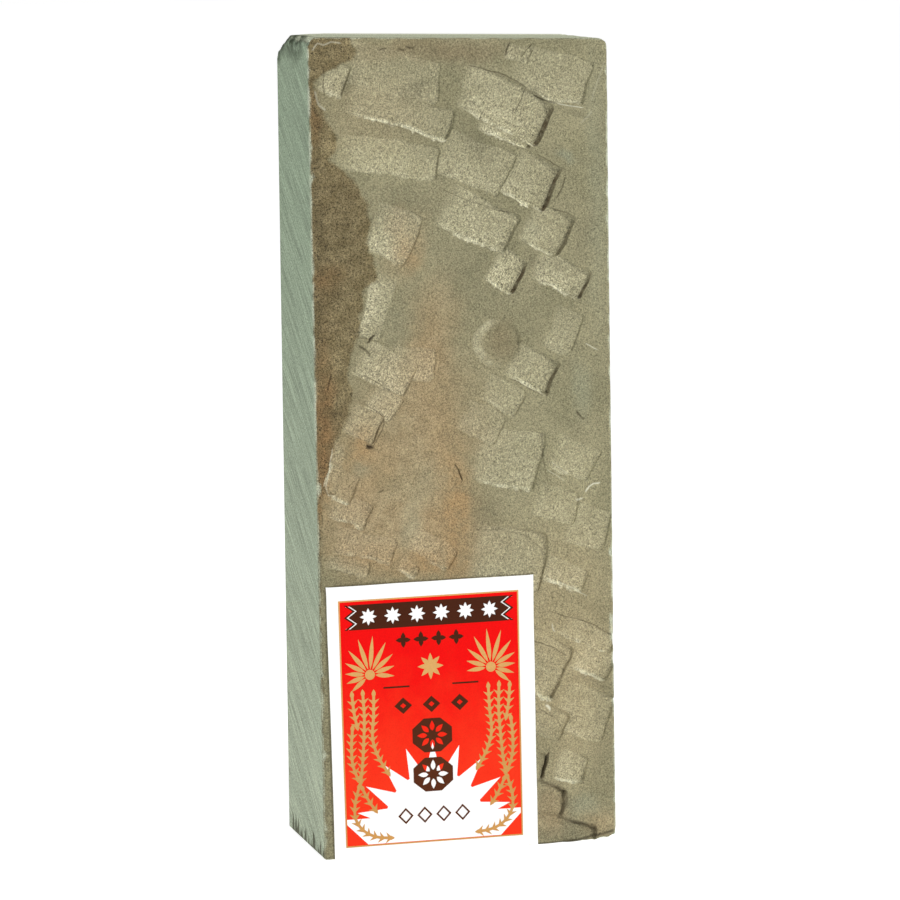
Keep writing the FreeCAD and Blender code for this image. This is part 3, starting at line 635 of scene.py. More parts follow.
def worked_face_chains():
    """The lines that the worked face's triangles follow: outlines, walls' feet, and the cracks, scratches
    and painted shade and highlight lines.
    """
    chains = [circle(DIP_RIM, DIP_RIM_RADIUS), circle(DIP_FLOOR, DIP_FLOOR_RADIUS)]
    for stroke in STROKES:
        wall = end_wall(stroke)
        for end_inset, side_inset in (
            (0, 0),
            (LIP, SIDE_WALL),
            (wall, SIDE_WALL),
            (wall + SHADE_STEP, SIDE_WALL + SHADE_STEP),
        ):
            chains.append(stroke_outline(stroke, end_inset, side_inset))
    for line_mark in LINE_MARKS:
        for side in (-0.5, 0, 0.5):
            chains.append(offset_line(line_mark.points, side * line_mark.width))
    return [piece for chain in chains for piece in split_chain(chain)]


def joined(patches):
    """One mesh of the patches, each given as its triangulation, a placing function and a winding."""
    lookup, points, triangles = {}, [], []
    for (flat, faces), place, winding in patches:
        numbers = []
        for point in flat:
            placed = place(point)
            key = tuple(round(float(value), 3) for value in placed)
            if key not in lookup:
                lookup[key] = len(points)
                points.append(placed)
            numbers.append(lookup[key])
        numbers = np.array(numbers)
        triangles.append(numbers[faces][:, ::winding])
    return np.array(points, float), np.concatenate(triangles)


def stone_box():
    """The stone as a plain box of triangles: points (x, depth, z), and triangles wound outwards."""
    low, high = (-HALF_WIDTH, 0.0), (HALF_WIDTH, LENGTH)
    fine_x, coarse_x = (ticks(-HALF_WIDTH, HALF_WIDTH, step) for step in (FINE_STEP, COARSE_STEP))
    fine_z, coarse_z = (ticks(0, LENGTH, step) for step in (FINE_STEP, COARSE_STEP))
    depths = ticks(0, THICKNESS, COARSE_STEP)

    front_points = grid(fine_x, fine_z, low, high)
    covered = outside_label(front_points[:, 0], front_points[:, 1]) < -HIDDEN_INSET
    covered &= front_points[:, 1] > EDGE_BAND
    thinned = np.arange(len(front_points)) % HIDDEN_SHARE > 0
    front_points = front_points[~(covered & thinned)]
    patches = [
        (triangulate(front_points, worked_face_chains()), lambda p: (p[0], 0.0, p[1]), 1),
        (triangulate(grid(coarse_x, coarse_z, low, high)), lambda p: (p[0], THICKNESS, p[1]), -1),
    ]
    side = triangulate(rows_from_edge(fine_z, coarse_z, depths))
    end = triangulate(rows_from_edge(fine_x, coarse_x, depths))
    for x, winding in ((-HALF_WIDTH, 1), (HALF_WIDTH, -1)):
        patches.append((side, lambda p, x=x: (x, p[1], p[0]), winding))
    for z, winding in ((0.0, -1), (LENGTH, 1)):
        patches.append((end, lambda p, z=z: (p[0], p[1], z), winding))
    return joined(patches)


LEAST_RADIUS = 0.4
ROUND_CORNER = 2.8
RELIEF_BAND = 6.0
SHARP_ANGLE = 32

# The broken and worn corners: a point on the break, its outward direction, roughness and seed.
BREAKS = [
    # the back left of the head, and the worn far edge beside it
    ((-HALF_WIDTH, THICKNESS, LENGTH - 5.4), (-1.0, 0.38, 1.0), 0.5, 12),
    ((-HALF_WIDTH + 9, THICKNESS - 6, LENGTH), (-0.06, 0.03, 1.0), 0.1, 16),
    # the left edge of the head
    ((-HALF_WIDTH + 1.6, 8, LENGTH), (-1.0, 0.0, 0.9), 0.4, 13),
    # the near right of the foot
    ((HALF_WIDTH, 0, 1.7), (0.28, -0.25, -1.0), 0.35, 14),
    ((HALF_WIDTH - 0.7, 0, 3.0), (1.0, -0.8, -0.35), 0.3, 15),
]


def edge_radius(x, depth, z):
    """How far the sawn edges are worn round, larger and more ragged beside the worked face."""
    along = noise(x + depth, z + 0.7 * depth, 5.0, 5)
    ragged = noise(x - depth, z - 0.4 * depth, 1.7, 6)
    chips = np.maximum(noise(x, z + depth, 3.4, 7) - 0.45, 0)
    near_face = ramp(depth, 12, 2)
    right = ramp(x, 30, 38)
    foot = ramp(z, 6, 1) * ramp(x, 25, 15)
    head = ramp(z, LENGTH - 6, LENGTH - 1)
    worn = 0.3 + 0.25 * right + 0.2 * along + 0.2 * ragged + 1.8 * chips
    return LEAST_RADIUS + near_face * np.maximum(worn, 0) * (1 - 0.8 * foot) * (1 - 0.6 * head)


def round_edges(points):
    """Pull the box's edges and corners in to a varying radius."""
    x, depth, z = points.T
    radius = edge_radius(x, depth, z)
    centre = np.column_stack([
        np.clip(x, -HALF_WIDTH + radius, HALF_WIDTH - radius),
        np.clip(depth, radius, THICKNESS - radius),
        np.clip(z, radius, LENGTH - radius),
    ])
    offset = points - centre
    size = np.linalg.norm(offset, axis=1)
    share = np.minimum(1, radius / np.maximum(size, 1e-9))
    return centre + offset * share[:, None]


def shave(points, on_plane, outward, roughness, seed):
    """Flatten whatever stands beyond a plane onto it, leaving a slightly rough break."""
    normal = np.array(outward, float)
    normal /= np.linalg.norm(normal)
    x, depth, z = points.T
    rough = roughness * noise(x + depth, z - depth, 1.6, seed)
    beyond = np.maximum((points - np.array(on_plane)) @ normal + rough, 0)
    return points - beyond[:, None] * normal


def break_corners(points):
    """Round the right corner of the head in three steps, then make every break."""
    centre = (HALF_WIDTH - ROUND_CORNER, 0, LENGTH - ROUND_CORNER)
    for angle in (20, 45, 70):
        outward = (math.cos(math.radians(angle)), 0, math.sin(math.radians(angle)))
        on_plane = [c + ROUND_CORNER * n for c, n in zip(centre, outward)]
        points = shave(points, on_plane, outward, 0.3, 11)
    for on_plane, outward, roughness, seed in BREAKS:
        points = shave(points, on_plane, outward, roughness, seed)
    return points


def taper(points):
    """Lean the far face in, and let the head fall from left to right."""
    x, depth, z = points.T
    leaning = depth - depth / THICKNESS * FACE_SLOPE * z
    near_head = np.clip((z - LENGTH) / HEAD_BAND + 1, 0, 1)
    return np.column_stack([x, leaning, z - HEAD_DROP * x / WIDTH * near_head])


def shaped_stone(points, relief):
    """Bend the plain box into the stone: worn edges, relief, broken corners and taper."""
    x, depth, z = points.T
    shaped = round_edges(points)
    border = np.minimum(HALF_WIDTH - np.abs(x), np.minimum(z, LENGTH - z))
    loose = ramp(border, 0, 3) * ramp(depth, 0.2, 0) * ramp(outside_label(x, z), 0, 2)
    for axis, u, v in ((0, x, z), (2, z, x)):
        shaped[:, axis] += loose * layered(u, v, 8, (0.3, 5.0), (0.13, 1.4))
    shaped[:, 1] += relief * np.clip(1 - depth / RELIEF_BAND, 0, 1)
    return taper(break_corners(shaped))


def side_masks(points):
    """Where the worked face ends, the painted highlight on the rounded edges and on the left side beside
    the worked face, the stained side, and the head.
    """
    x, depth, z = points.T
    moved = np.linalg.norm(round_edges(points) - points, axis=1)
    # A band of painted highlight on the left side beside the worked face.
    left_edge_sheen = ramp(depth, 2.2, 0.9) * (x <= -HALF_WIDTH) * ramp(z, 60, 120)
    on_left = (x < 3 - HALF_WIDTH) * ramp(depth, 5, 14)
    worn = np.maximum(ramp(moved, 0.05, 0.3), left_edge_sheen)
    return {
        "face": ramp(depth, 1.2, 0),
        "worn": worn * ramp(noise(x + depth, z, 2.2, 71), -0.7, 0.3),
        "stain": ramp(z + 2.5 * noise(depth, z, 5.0, 72), 198, 203) * on_left,
        "end": ramp(depth, 0, 0.8) * ramp(z, LENGTH - 1.2, LENGTH - 0.2),
    }


def make_stone():
    """The stone's mesh, with the masks that its material reads as attributes."""
    points, triangles = stone_box()
    x, depth, z = points.T
    relief, masks = worked_face(x, z)
    sides = side_masks(points)
    for name in masks:
        masks[name] = masks[name] * (depth <= 0 if name.startswith("grain") else sides["face"])
    masks.update(sides)
    piece = add_mesh("whetstone", to_metres(shaped_stone(points, relief)), triangles)
    for name, values in masks.items():
        layer = piece.data.attributes.new(name, "FLOAT", "POINT")
        layer.data.foreach_set("value", np.asarray(values, np.float32))
    piece.data.shade_smooth()
    piece.data.set_sharp_from_angle(angle=math.radians(SHARP_ANGLE))
    return piece


def add_mesh(name, points, faces):
    mesh = bpy.data.meshes.new(name)
    mesh.from_pydata([tuple(p) for p in points], [], [tuple(int(k) for k in f) for f in faces])
    mesh.validate()
    piece = bpy.data.objects.new(name, mesh)
    bpy.context.scene.collection.objects.link(piece)
    return piece


# ---- Materials ----

def srgb(red, green, blue):
    """A colour given as 0-255 screen values, as linear light."""
    channels = []
    for value in (red, green, blue):
        share = value / 255
        channels.append(share / 12.92 if share <= 0.04045 else ((share + 0.055) / 1.055) ** 2.4)
    return (*channels, 1.0)


class Value:
    """A socket of a material's node tree that can be used in sums like a number."""

    def __init__(self, graph, socket):
        self.graph = graph
        self.socket = socket

    def __add__(self, other):
        return self.graph.math("ADD", self, other)

    def __sub__(self, other):
        return self.graph.math("SUBTRACT", self, other)

    def __rsub__(self, other):
        return self.graph.math("SUBTRACT", other, self)

    def __mul__(self, other):
        return self.graph.math("MULTIPLY", self, other)


class Graph:
    """A short way to write a material's node tree. Positions inside it are in millimetres."""

    def __init__(self, name):
        self.material = bpy.data.materials.new(name)
        self.material.use_nodes = True
        self.tree = self.material.node_tree
        self.tree.nodes.clear()
        self.surface = self.add("ShaderNodeBsdfPrincipled")
        output = self.add("ShaderNodeOutputMaterial")
        self.tree.links.new(self.surface.outputs[0], output.inputs["Surface"])
        place = Value(self, self.add("ShaderNodeTexCoord").outputs["Object"])
        self.position = self.brighten(place, 1 / MM)

    def add(self, kind, **settings):
        node = self.tree.nodes.new(kind)
        for name, value in settings.items():
            setattr(node, name, value)
        return node

    def feed(self, target, value):
        """Join a value to a socket, or give the socket a plain number or colour."""
        if isinstance(value, Value):
            self.tree.links.new(value.socket, target)
        else:
            target.default_value = value

    def filled(self, node, values, output=0):
        """Feed a node's inputs, given by name or number, and return one of its outputs."""
        for key, value in values.items():
            self.feed(node.inputs[key], value)
        return Value(self, node.outputs[output])

    def finish(self, colour, roughness, specular=0.5):
        """Set the surface's own values and return the material."""
        self.feed(self.surface.inputs["Base Color"], colour)
        self.feed(self.surface.inputs["Roughness"], roughness)
        self.feed(self.surface.inputs["Specular IOR Level"], specular)
        return self.material

    def math(self, operation, first, second, clamp=False):
        node = self.add("ShaderNodeMath", operation=operation, use_clamp=clamp)
        return self.filled(node, {0: first, 1: second})

    def attribute(self, name):
        return Value(self, self.add("ShaderNodeAttribute", attribute_name=name).outputs["Fac"])

    def attributes(self, names):
        return (self.attribute(name) for name in names.split())

    def noise(self, wavelength, detail, roughness, vector=None):
        """Cloudy values around 0.5 whose largest features are about one wavelength across."""
        return self.filled(self.add("ShaderNodeTexNoise"), {
            "Vector": vector or self.position,
            "Scale": 1 / wavelength,
            "Detail": detail,
            "Roughness": roughness,
        }, "Fac")

    def band(self, value, low, high, start=0.0, end=1.0):
        """Map low..high smoothly to start..end."""
        node = self.add("ShaderNodeMapRange", interpolation_type="SMOOTHSTEP")
        return self.filled(node, dict(enumerate((value, low, high, start, end))))

    def mix(self, share, first, second):
        node = self.add("ShaderNodeMix", data_type="RGBA")
        return self.filled(node, {"Factor": share, "A": first, "B": second}, "Result")

    def vector(self, x, y, z):
        return self.filled(self.add("ShaderNodeCombineXYZ"), {0: x, 1: y, 2: z})

    def separate(self):
        """The position's x, y and z."""
        node = self.add("ShaderNodeSeparateXYZ")
        self.feed(node.inputs[0], self.position)
        return (Value(self, output) for output in node.outputs)

    def brighten(self, colour, value):
        """Scale a colour or a place by a factor that may change over the surface."""
        node = self.add("ShaderNodeVectorMath", operation="SCALE")
        return self.filled(node, {0: colour, "Scale": value})

    def bump(self, height, depth):
        """Turn a height between 0 and 1 into a relief that many millimetres deep."""
        normal = self.filled(self.add("ShaderNodeBump"), {"Distance": depth * MM, "Height": height})
        self.feed(self.surface.inputs["Normal"], normal)


# The stone's colours; a pair is the darker and the lighter end of a mottled one.
GROUND = srgb(130, 126, 98), srgb(142, 137, 108)
WARM_GROUND = srgb(144, 126, 94), srgb(162, 145, 112)
GREY_GROUND = srgb(140, 142, 118)
STRUCK = srgb(170, 165, 135), srgb(182, 177, 147)
WARM_STRUCK = srgb(172, 153, 122)
RUST = srgb(160, 126, 82)
SKIN = srgb(108, 97, 68), srgb(134, 122, 90)
DARK_SKIN = srgb(98, 84, 58)
RUSTY_SKIN = srgb(132, 96, 58)
# The next colour is a painted highlight for the strokes' lower edges and the dip's left rim.
LOWER_EDGE_HIGHLIGHT = srgb(222, 219, 190)
# The next colour is painted shade for the corners of the strokes' deep ends.
DEEP_END_SHADE = srgb(68, 50, 32)
SAWN = srgb(174, 183, 160), srgb(146, 161, 137)
# The head's colours are painted light: paler than the sides as if lit from above, and paler still towards
# the back.
LIT_HEAD = srgb(196, 201, 174), srgb(240, 243, 222)
STAIN = srgb(54, 64, 42)
DARK_TEETH = srgb(78, 76, 56)
# The next colour is a painted highlight on the rounded edges.
EDGE_SHEEN = srgb(200, 207, 184)
# The next two colours are for cracks and scratches, and also for the painted shade and painted highlight
# lines.
CRACK_AND_SHADE = srgb(48, 38, 26)
WHITE_SCRATCH_AND_HIGHLIGHT = srgb(226, 224, 202)

SAW_SLOPE = 1.55

Patterns = namedtuple("Patterns", "cloud mottle grain pores saw wide_saw")


def stone_patterns(graph):
    """The patterns that the stone's colours and relief share; saw lines run steeply."""
    x, y, z = graph.separate()
    slanted = x + y - z * SAW_SLOPE
    return Patterns(
        cloud=graph.noise(16, 3, 0.55),
        mottle=graph.noise(3.5, 3, 0.6),
        grain=graph.noise(0.3, 2, 0.7),
        pores=graph.noise(0.5, 3, 0.7),
        saw=graph.noise(1.0, 3, 0.7, graph.vector(slanted * 0.9, z * 0.08, 0.0)),
        wide_saw=graph.noise(1.0, 2, 0.6, graph.vector(slanted * 0.18, z * 0.03, 3.0)),
    )


def ground_colour(graph, pattern):
    """The worked face: olive grey, in places warmer, rusty or grey, and lighter where struck, partly the
    fresh-cut stone and partly painted light.
    """
    warm, rust, grey, facet = graph.attributes("warm rust grey facet")
    colour = graph.mix(graph.band(pattern.cloud, 0.35, 0.65), *GROUND)
    tan = graph.mix(graph.band(pattern.mottle, 0.35, 0.65), *WARM_GROUND)
    colour = graph.mix(warm * graph.band(pattern.cloud, 0.3, 0.6, 0.75, 1.0), colour, tan)
    colour = graph.mix(grey * 0.8, colour, GREY_GROUND)
    struck = graph.mix(graph.band(pattern.mottle, 0.35, 0.65), *STRUCK)
    struck = graph.mix(warm * 0.6, struck, WARM_STRUCK)
    # Struck floors: partly the fresh-cut stone's paler colour, partly painted light.
    colour = graph.mix(facet, colour, struck)
    return graph.mix(rust * graph.band(pattern.mottle, 0.3, 0.65, 0.35, 1.0), colour, RUST)


def skin_colour(graph, pattern):
    """The natural brown skin along the left of the worked face."""
    brown = graph.mix(graph.band(pattern.mottle, 0.3, 0.7), *SKIN)
    brown = graph.mix(graph.band(pattern.cloud, 0.35, 0.65, 0.3, 0.0), brown, DARK_SKIN)
    rusty = graph.attribute("rust") * graph.band(pattern.mottle, 0.3, 0.6, 0.4, 1.0)
    return graph.mix(rusty, brown, RUSTY_SKIN)


def sawn_colour(graph, pattern):
    """The sides, the back and the ends: pale green-grey with saw lines, dark at the left foot, and the
    head painted paler as if lit from above.
    """
    end, stain = graph.attributes("end stain")
    x, y, z = graph.separate()
    sawn = graph.mix(graph.band(z, 0, 190), *SAWN)
    sawn = graph.brighten(sawn, graph.band(pattern.saw, 0.3, 0.7, 0.72, 1.25))
    sawn = graph.brighten(sawn, graph.band(pattern.wide_saw, 0.3, 0.7, 0.9, 1.1))
    # The head, painted paler as if lit from above.
    sawn = graph.mix(end, sawn, graph.mix(graph.band(y, 2, 13), *LIT_HEAD))
    sawn = graph.mix(stain * graph.band(pattern.mottle, 0.3, 0.55, 0.2, 0.9), sawn, STAIN)
    streak = graph.noise(1.0, 2, 0.5, graph.vector(x * 0.4, y * 0.5, z * 0.04))
    teeth = graph.band(streak + z * -0.05, 0.36, 0.44)
    teeth = teeth * graph.band(x, 2 - HALF_WIDTH, -HALF_WIDTH)
    return graph.mix(teeth * 0.85, sawn, DARK_TEETH)


def facet_weave(graph):
    """A weave of fine lines along and across each stroke."""
    u, v = graph.attributes("grain_u grain_v")
    along = graph.noise(1.0, 2, 0.7, graph.vector(u * 0.9, v * 3.2, 0.0))
    across = graph.noise(1.0, 2, 0.7, graph.vector(u * 3.2, v, 5.0))
    return along * 0.4 + across * 0.6


def stone_material():
    """The worked face, the skin and the sawn faces, under grain, cracks and scratches, with painted
    highlights and painted shade.
    """
    graph = Graph("natural_stone")
    face, facet, skin, light, end = graph.attributes("face facet skin light end")
    rim, dirt, line, worn = graph.attributes("rim dirt line worn")
    pattern = stone_patterns(graph)
    weave = facet_weave(graph)

    colour = graph.mix(skin, ground_colour(graph, pattern), skin_colour(graph, pattern))
    # The light patches: the stone's tone, and in places painted shade.
    colour = graph.brighten(colour, light * 0.32 + 1.0)
    # Painted highlight along the strokes' lower edges and on the dip's left rim.
    colour = graph.mix(rim * 0.9, colour, LOWER_EDGE_HIGHLIGHT)
    # Painted shade in the corners of the strokes' deep ends.
    colour = graph.mix(dirt * 0.9, colour, DEEP_END_SHADE)
    colour = graph.mix(face, sawn_colour(graph, pattern), colour)
    # Painted highlight on the rounded edges and beside the left front edge.
    colour = graph.mix(worn * 0.7, colour, EDGE_SHEEN)

    speckle = pattern.grain * 1.5 + pattern.pores - 1.25
    coarseness = graph.math("MAXIMUM", facet * 0.2, skin * 0.9) + 1.5
    colour = graph.brighten(colour, speckle * coarseness + 1.0)
    colour = graph.brighten(colour, (weave - 0.5) * (facet * 4.5 + 0.8) + 1.0)
    # Cracks and scratches, and the painted shade and highlight lines, by tone.
    colour = graph.mix(graph.math("MULTIPLY", line, -1.0, clamp=True), colour, CRACK_AND_SHADE)
    colour = graph.mix(graph.math("MULTIPLY", line, 1.0, clamp=True), colour, WHITE_SCRATCH_AND_HIGHLIGHT)

    rough = pattern.pores + facet * weave + skin * (pattern.mottle * 2.0)
    rough = rough + (1.0 - face) * (pattern.saw * 0.7)
    graph.bump(rough * (1.0 - end * 0.9), 0.4)
    return graph.finish(colour, graph.band(pattern.grain, 0.3, 0.7, 0.82, 0.95), 0.25)


def paper_material():
    graph = Graph("label_paper")
    fibre = graph.noise(0.35, 3, 0.7)
    cloud = graph.noise(12, 2, 0.5)
    white = graph.mix(graph.band(cloud, 0.35, 0.7), srgb(250, 251, 251), srgb(246, 247, 245))
    white = graph.brighten(white, graph.band(fibre, 0.2, 0.8, 0.97, 1.0))
    graph.bump(fibre + cloud * 2.0, 0.02)
    return graph.finish(white, 0.7, 0.1)


def ink_material(name, thin, full, roughness):
    """A flat ink that lies thinner towards the label's foot and on the paper's fibres."""
    graph = Graph(name)
    fibre = graph.noise(0.3, 3, 0.7)
    cloud = graph.noise(6, 3, 0.6)
    _, _, height = graph.separate()
    cover = height * (1 / PANEL_HEIGHT) + cloud * 0.5
    colour = graph.mix(graph.band(cover, 0.45, 1.15), thin, full)
    colour = graph.brighten(colour, graph.band(fibre, 0.2, 0.8, 0.9, 1.06))
    graph.bump(fibre, 0.015)
    return graph.finish(colour, roughness, 0.06)


# ---- The label ----
# Drawn flat in label millimetres: x from the middle of the red panel, z up from the label's foot.

LABEL_WIDTH = 53.8
LABEL_HEIGHT = 69.7
LABEL_FOOT_EDGE = ((-35.95, 0.05), (17.38, 0.1))
LABEL_HEAD_EDGE = ((-36.95, 69.8), (17.1, 70.1))
PANEL_LEFT = 3.0
PANEL_FOOT = 2.8
PANEL_WIDTH = 46.8
PANEL_HEIGHT = 63.2
PANEL_HALF = PANEL_WIDTH / 2
PANEL_TOP = PANEL_FOOT + PANEL_HEIGHT
BORDER = 0.35
CUT_POINTS = 40
RAY_COUNT = 9
BANNER_FOOT = 58.4
BANNER_HEIGHT = 6.4
BANNER_HALF = 22.0
BANNER_NOTCH = 2.2
# Rows of ornaments: the first x, the step, how many, and z.
CROSSES = (-6.9, 4.6, 4, 55.1)
LOZENGES = (-7.4, 7.4, 3, 38.3)
FOOT_LOZENGES = (-7.5, 5.0, 4, 9.9)
BANNER_ROSETTES = (-15.75, 6.3, 6, BANNER_FOOT + BANNER_HEIGHT / 2)
OCTAGON_HEIGHTS = (30.3, 20.2)
OCTAGON_SQUASH = 0.84
BAR_HEIGHT = 43.2
BAR_ENDS = (5.6, 12.4)
STAR_HEIGHT = 48.0
# The leaf fan: its middle, its leaves, its first leaf's heading and the angle it spans.
FAN_X, FAN_Z = 15.8, 46.8
FAN_LEAVES = 11
FAN_START = -40
FAN_SWEEP = 226
FAN_HUB = 1.3
PETAL_STEPS = 6
# A sprig's barb, as (along, across) from its stem, and the spacing of its barbs.
BARB = [(0.9, 0.0), (-0.9, 1.45), (-0.3, 0.0)]
BARB_STEP = 1.9


def rectangle(x0, z0, x1, z1):
    return [(x0, z0), (x1, z0), (x1, z1), (x0, z1)]


def ring_points(x, z, half_width, half_height, count, start=0.0):
    """An upright ellipse or, with few points, a regular polygon."""
    points = []
    for number in range(count):
        angle = 2 * math.pi * number / count + math.radians(start)
        points.append((x + half_width * math.cos(angle), z + half_height * math.sin(angle)))
    return points


def petal(x, z, heading, length, width):
    """A pointed leaf growing from (x, z)."""
    lower, upper = [], []
    for number in range(PETAL_STEPS + 1):
        share = number / PETAL_STEPS
        half = 0.5 * width * math.sin(math.pi * share ** 0.8)
        for side, points in ((-1, lower), (1, upper)):
            dx, dz = turned(share * length, side * half, heading)
            points.append((x + dx, z + dz))
    return lower + upper[-2:0:-1]


def rosette(x, z, radius, petals, width):
    """Even petals round a small middle."""
    shapes = [petal(x, z, 360 * k / petals + 90, radius, width) for k in range(petals)]
    return shapes + [ring_points(x, z, radius * 0.22, radius * 0.22, 10)]


def thick_line(points, width):
    """A line of even width through the points, with mitred turns."""
    left, right = [], []
    for number, (x, z) in enumerate(points):
        before = points[max(number - 1, 0)]
        after = points[min(number + 1, len(points) - 1)]
        first = Vector((x - before[0], z - before[1]))
        second = Vector((after[0] - x, after[1] - z))
        first = first.normalized() if first.length else second.normalized()
        second = second.normalized() if second.length else first
        middle = (first + second).normalized()
        stretch = width / 2 / max(middle.dot(first), 0.4)
        across = Vector((-middle.y, middle.x)) * stretch
        left.append((x + across.x, z + across.y))
        right.append((x - across.x, z - across.y))
    return right + left[::-1]


def mirrored(shape):
    return [(-x, z) for x, z in reversed(shape)]


def banner_end(inset):
    """The zigzag of the banner's right end, from its foot to its top, moved inwards."""
    step = BANNER_HEIGHT / 4
    points = []
    for number in range(5):
        notch = BANNER_NOTCH if number % 2 else 0
        points.append((BANNER_HALF - notch - inset, BANNER_FOOT + number * step))
    return points


def smooth_path(points, step):
    """Points every step along a smooth curve through the given ones."""
    knots = np.array(points, float)
    sizes = np.concatenate([[0], np.cumsum(np.hypot(*np.diff(knots, axis=0).T))])
    slopes = np.gradient(knots, sizes, axis=0)
    places = np.linspace(0, sizes[-1], max(2, round(sizes[-1] / step)) + 1)
    index = np.clip(np.searchsorted(sizes, places, side="right") - 1, 0, len(sizes) - 2)
    span = (sizes[index + 1] - sizes[index])[:, None]
    t = (places - sizes[index])[:, None] / span
    start, end = knots[index], knots[index + 1]
    return ((2 * t ** 3 - 3 * t ** 2 + 1) * start + (t ** 3 - 2 * t ** 2 + t) * span * slopes[index]
            + (3 * t ** 2 - 2 * t ** 3) * end + (t ** 3 - t ** 2) * span * slopes[index + 1])


def sprig(points):
    """A curved hanging stem with pairs of sharp barbs that point back up it."""
    path = smooth_path(points, BARB_STEP)
    shapes = [thick_line([tuple(p) for p in path], 0.7)]
    for number in range(1, len(path)):
        x, z = path[number]
        dx, dz = path[number] - path[number - 1]
        heading = math.degrees(math.atan2(dz, dx))
        for side in (-1, 1):
            corners = [turned(along, side * across, heading) for along, across in BARB]
            shapes.append([(x + u, z + v) for u, v in corners[::side]])
    for end, before in ((path[0], path[1]), (path[-1], path[-2])):
        dx, dz = end - before
        shapes.append(petal(*(end - 0.3 * (end - before)), math.degrees(math.atan2(dz, dx)), 2.0, 1.1))
    return shapes


SPRIGS = [
    [(15.0, 41.6), (15.2, 36.0), (15.6, 30.0), (14.0, 25.0), (12.0, 21.6)],
    [(17.8, 41.8), (17.6, 36.0), (18.0, 29.0), (18.6, 22.5), (19.0, 19.8)],
    [(20.6, 41.6), (20.2, 37.0), (19.6, 34.0)],
    [(20.8, 33.0), (21.2, 28.0), (20.9, 23.5), (19.8, 20.4)],
    [(19.6, 18.0), (20.8, 13.5), (20.6, 9.6), (18.4, 6.6), (14.8, 4.9), (12.0, 4.6)],
    [(18.6, 17.6), (17.2, 14.6), (15.6, 12.2)],
]


def gold_shapes():
    """The star, and on both sides a leaf fan and hanging sprigs."""
    right = [shape for path in SPRIGS for shape in sprig(path)]
    for number in range(FAN_LEAVES):
        heading = FAN_START + FAN_SWEEP * number / (FAN_LEAVES - 1)
        length = 5.0 + 3.6 * max(0, math.sin(math.radians(heading))) ** 2
        dx, dz = turned(1.4, 0, heading)
        right.append(petal(FAN_X + dx, FAN_Z + dz, heading, length, 1.15))
    shapes = [half for shape in right for half in (shape, mirrored(shape))]
    shapes += [ring_points(side * FAN_X, FAN_Z, FAN_HUB, FAN_HUB, 16) for side in (-1, 1)]
    return shapes + rosette(0, STAR_HEIGHT, 3.4, 8, 1.25)


def places(row):
    """The (x, z) places of a row of ornaments."""
    first, step, count, z = row
    return [(first + step * number, z) for number in range(count)]


def brown_shapes():
    """The banner and the plain ornaments that stand where a printed label has its lines."""
    banner = banner_end(0)
    shapes = [banner + mirrored(banner)]
    for x, z in places(CROSSES):
        shapes += rosette(x, z, 1.95, 4, 1.2)
    for side in (-1, 1):
        shapes.append(thick_line([(side * end, BAR_HEIGHT) for end in BAR_ENDS], 0.4))
    shapes += [ring_points(x, z, 2.3, 2.1, 4) for x, z in places(LOZENGES)]
    shapes += [ring_points(0, z, 5.6, 4.7, 8, 22.5) for z in OCTAGON_HEIGHTS]
    shapes += [ring_points(x, z, 2.0, 2.1, 4) for x, z in places(FOOT_LOZENGES)]
    return shapes


def brown_openings():
    """What is left bare inside the brown shapes."""
    openings = []
    for x, z in places(BANNER_ROSETTES):
        openings += rosette(x, z, 2.25, 8, 0.95)
    zigzag = thick_line(banner_end(0.9), 0.28)
    openings += [zigzag, mirrored(zigzag)]
    openings += [ring_points(x, z, 0.8, 0.7, 4) for x, z in places(LOZENGES)]
    for z in OCTAGON_HEIGHTS:
        for heading in range(0, 360, 45):
            dx, dz = turned(1.3, 0, heading)
            openings.append(petal(dx, z + dz * OCTAGON_SQUASH, heading, 2.7, 1.3))
    openings += [ring_points(x, z, 1.4, 1.5, 4) for x, z in places(FOOT_LOZENGES)]
    return openings


def paper_openings():
    """Where the red panel leaves the paper bare: a foot band and an even fan of rays."""
    low, side = PANEL_FOOT + 0.45, PANEL_HALF - 0.45
    corner, band_top = 5.4, PANEL_FOOT + 7.2
    band = [
        (corner - side, low), (side - corner, low), (side, low + corner),
        (side, band_top), (-side, band_top), (-side, low + corner),
    ]
    centre, core, reach, half_width = PANEL_FOOT + 5.2, 13.0, 20.5, 2.2
    disc = [(x, z) for x, z in ring_points(0, centre, core, core, 60) if z > centre - 1]
    shapes = [band, disc]
    for number in range(RAY_COUNT):
        heading = 10 + 160 * number / (RAY_COUNT - 1)
        ray = [(core - 1, -half_width), (reach, 0), (core - 1, half_width)]
        turned_ray = [turned(x, z, heading) for x, z in ray]
        shapes.append([(x, z + centre) for x, z in turned_ray])
    window = 0.3
    inner = banner_end(window)
    shapes.append([(x, np.clip(z, BANNER_FOOT + window, BANNER_FOOT + BANNER_HEIGHT - window))
                   for x, z in inner + mirrored(inner)])
    return shapes


def place_on_face(x, z):
    """Turn label millimetres into face millimetres; the sheet was cut a little out of square."""
    across = (x + PANEL_LEFT + PANEL_HALF) / LABEL_WIDTH
    foot, head = (Vector(a).lerp(Vector(b), across) for a, b in (LABEL_FOOT_EDGE, LABEL_HEAD_EDGE))
    return tuple(foot.lerp(head, z / LABEL_HEIGHT))


def kept_triangles(shapes, openings):
    """The flat vertices and triangles of the shapes less the openings."""
    vertices, loops = [], []
    for shape in shapes + openings:
        loops.append(list(range(len(vertices), len(vertices) + len(shape))))
        vertices += [Vector((float(x), float(z))) for x, z in shape]
    flat, _, triangles, _, _, sources = delaunay_2d_cdt(vertices, [], loops, 1, SAME_PLACE)
    kept = []
    for triangle, source in zip(triangles, sources):
        if source and max(source) < len(shapes):
            kept.append(tuple(triangle))
    return flat, kept


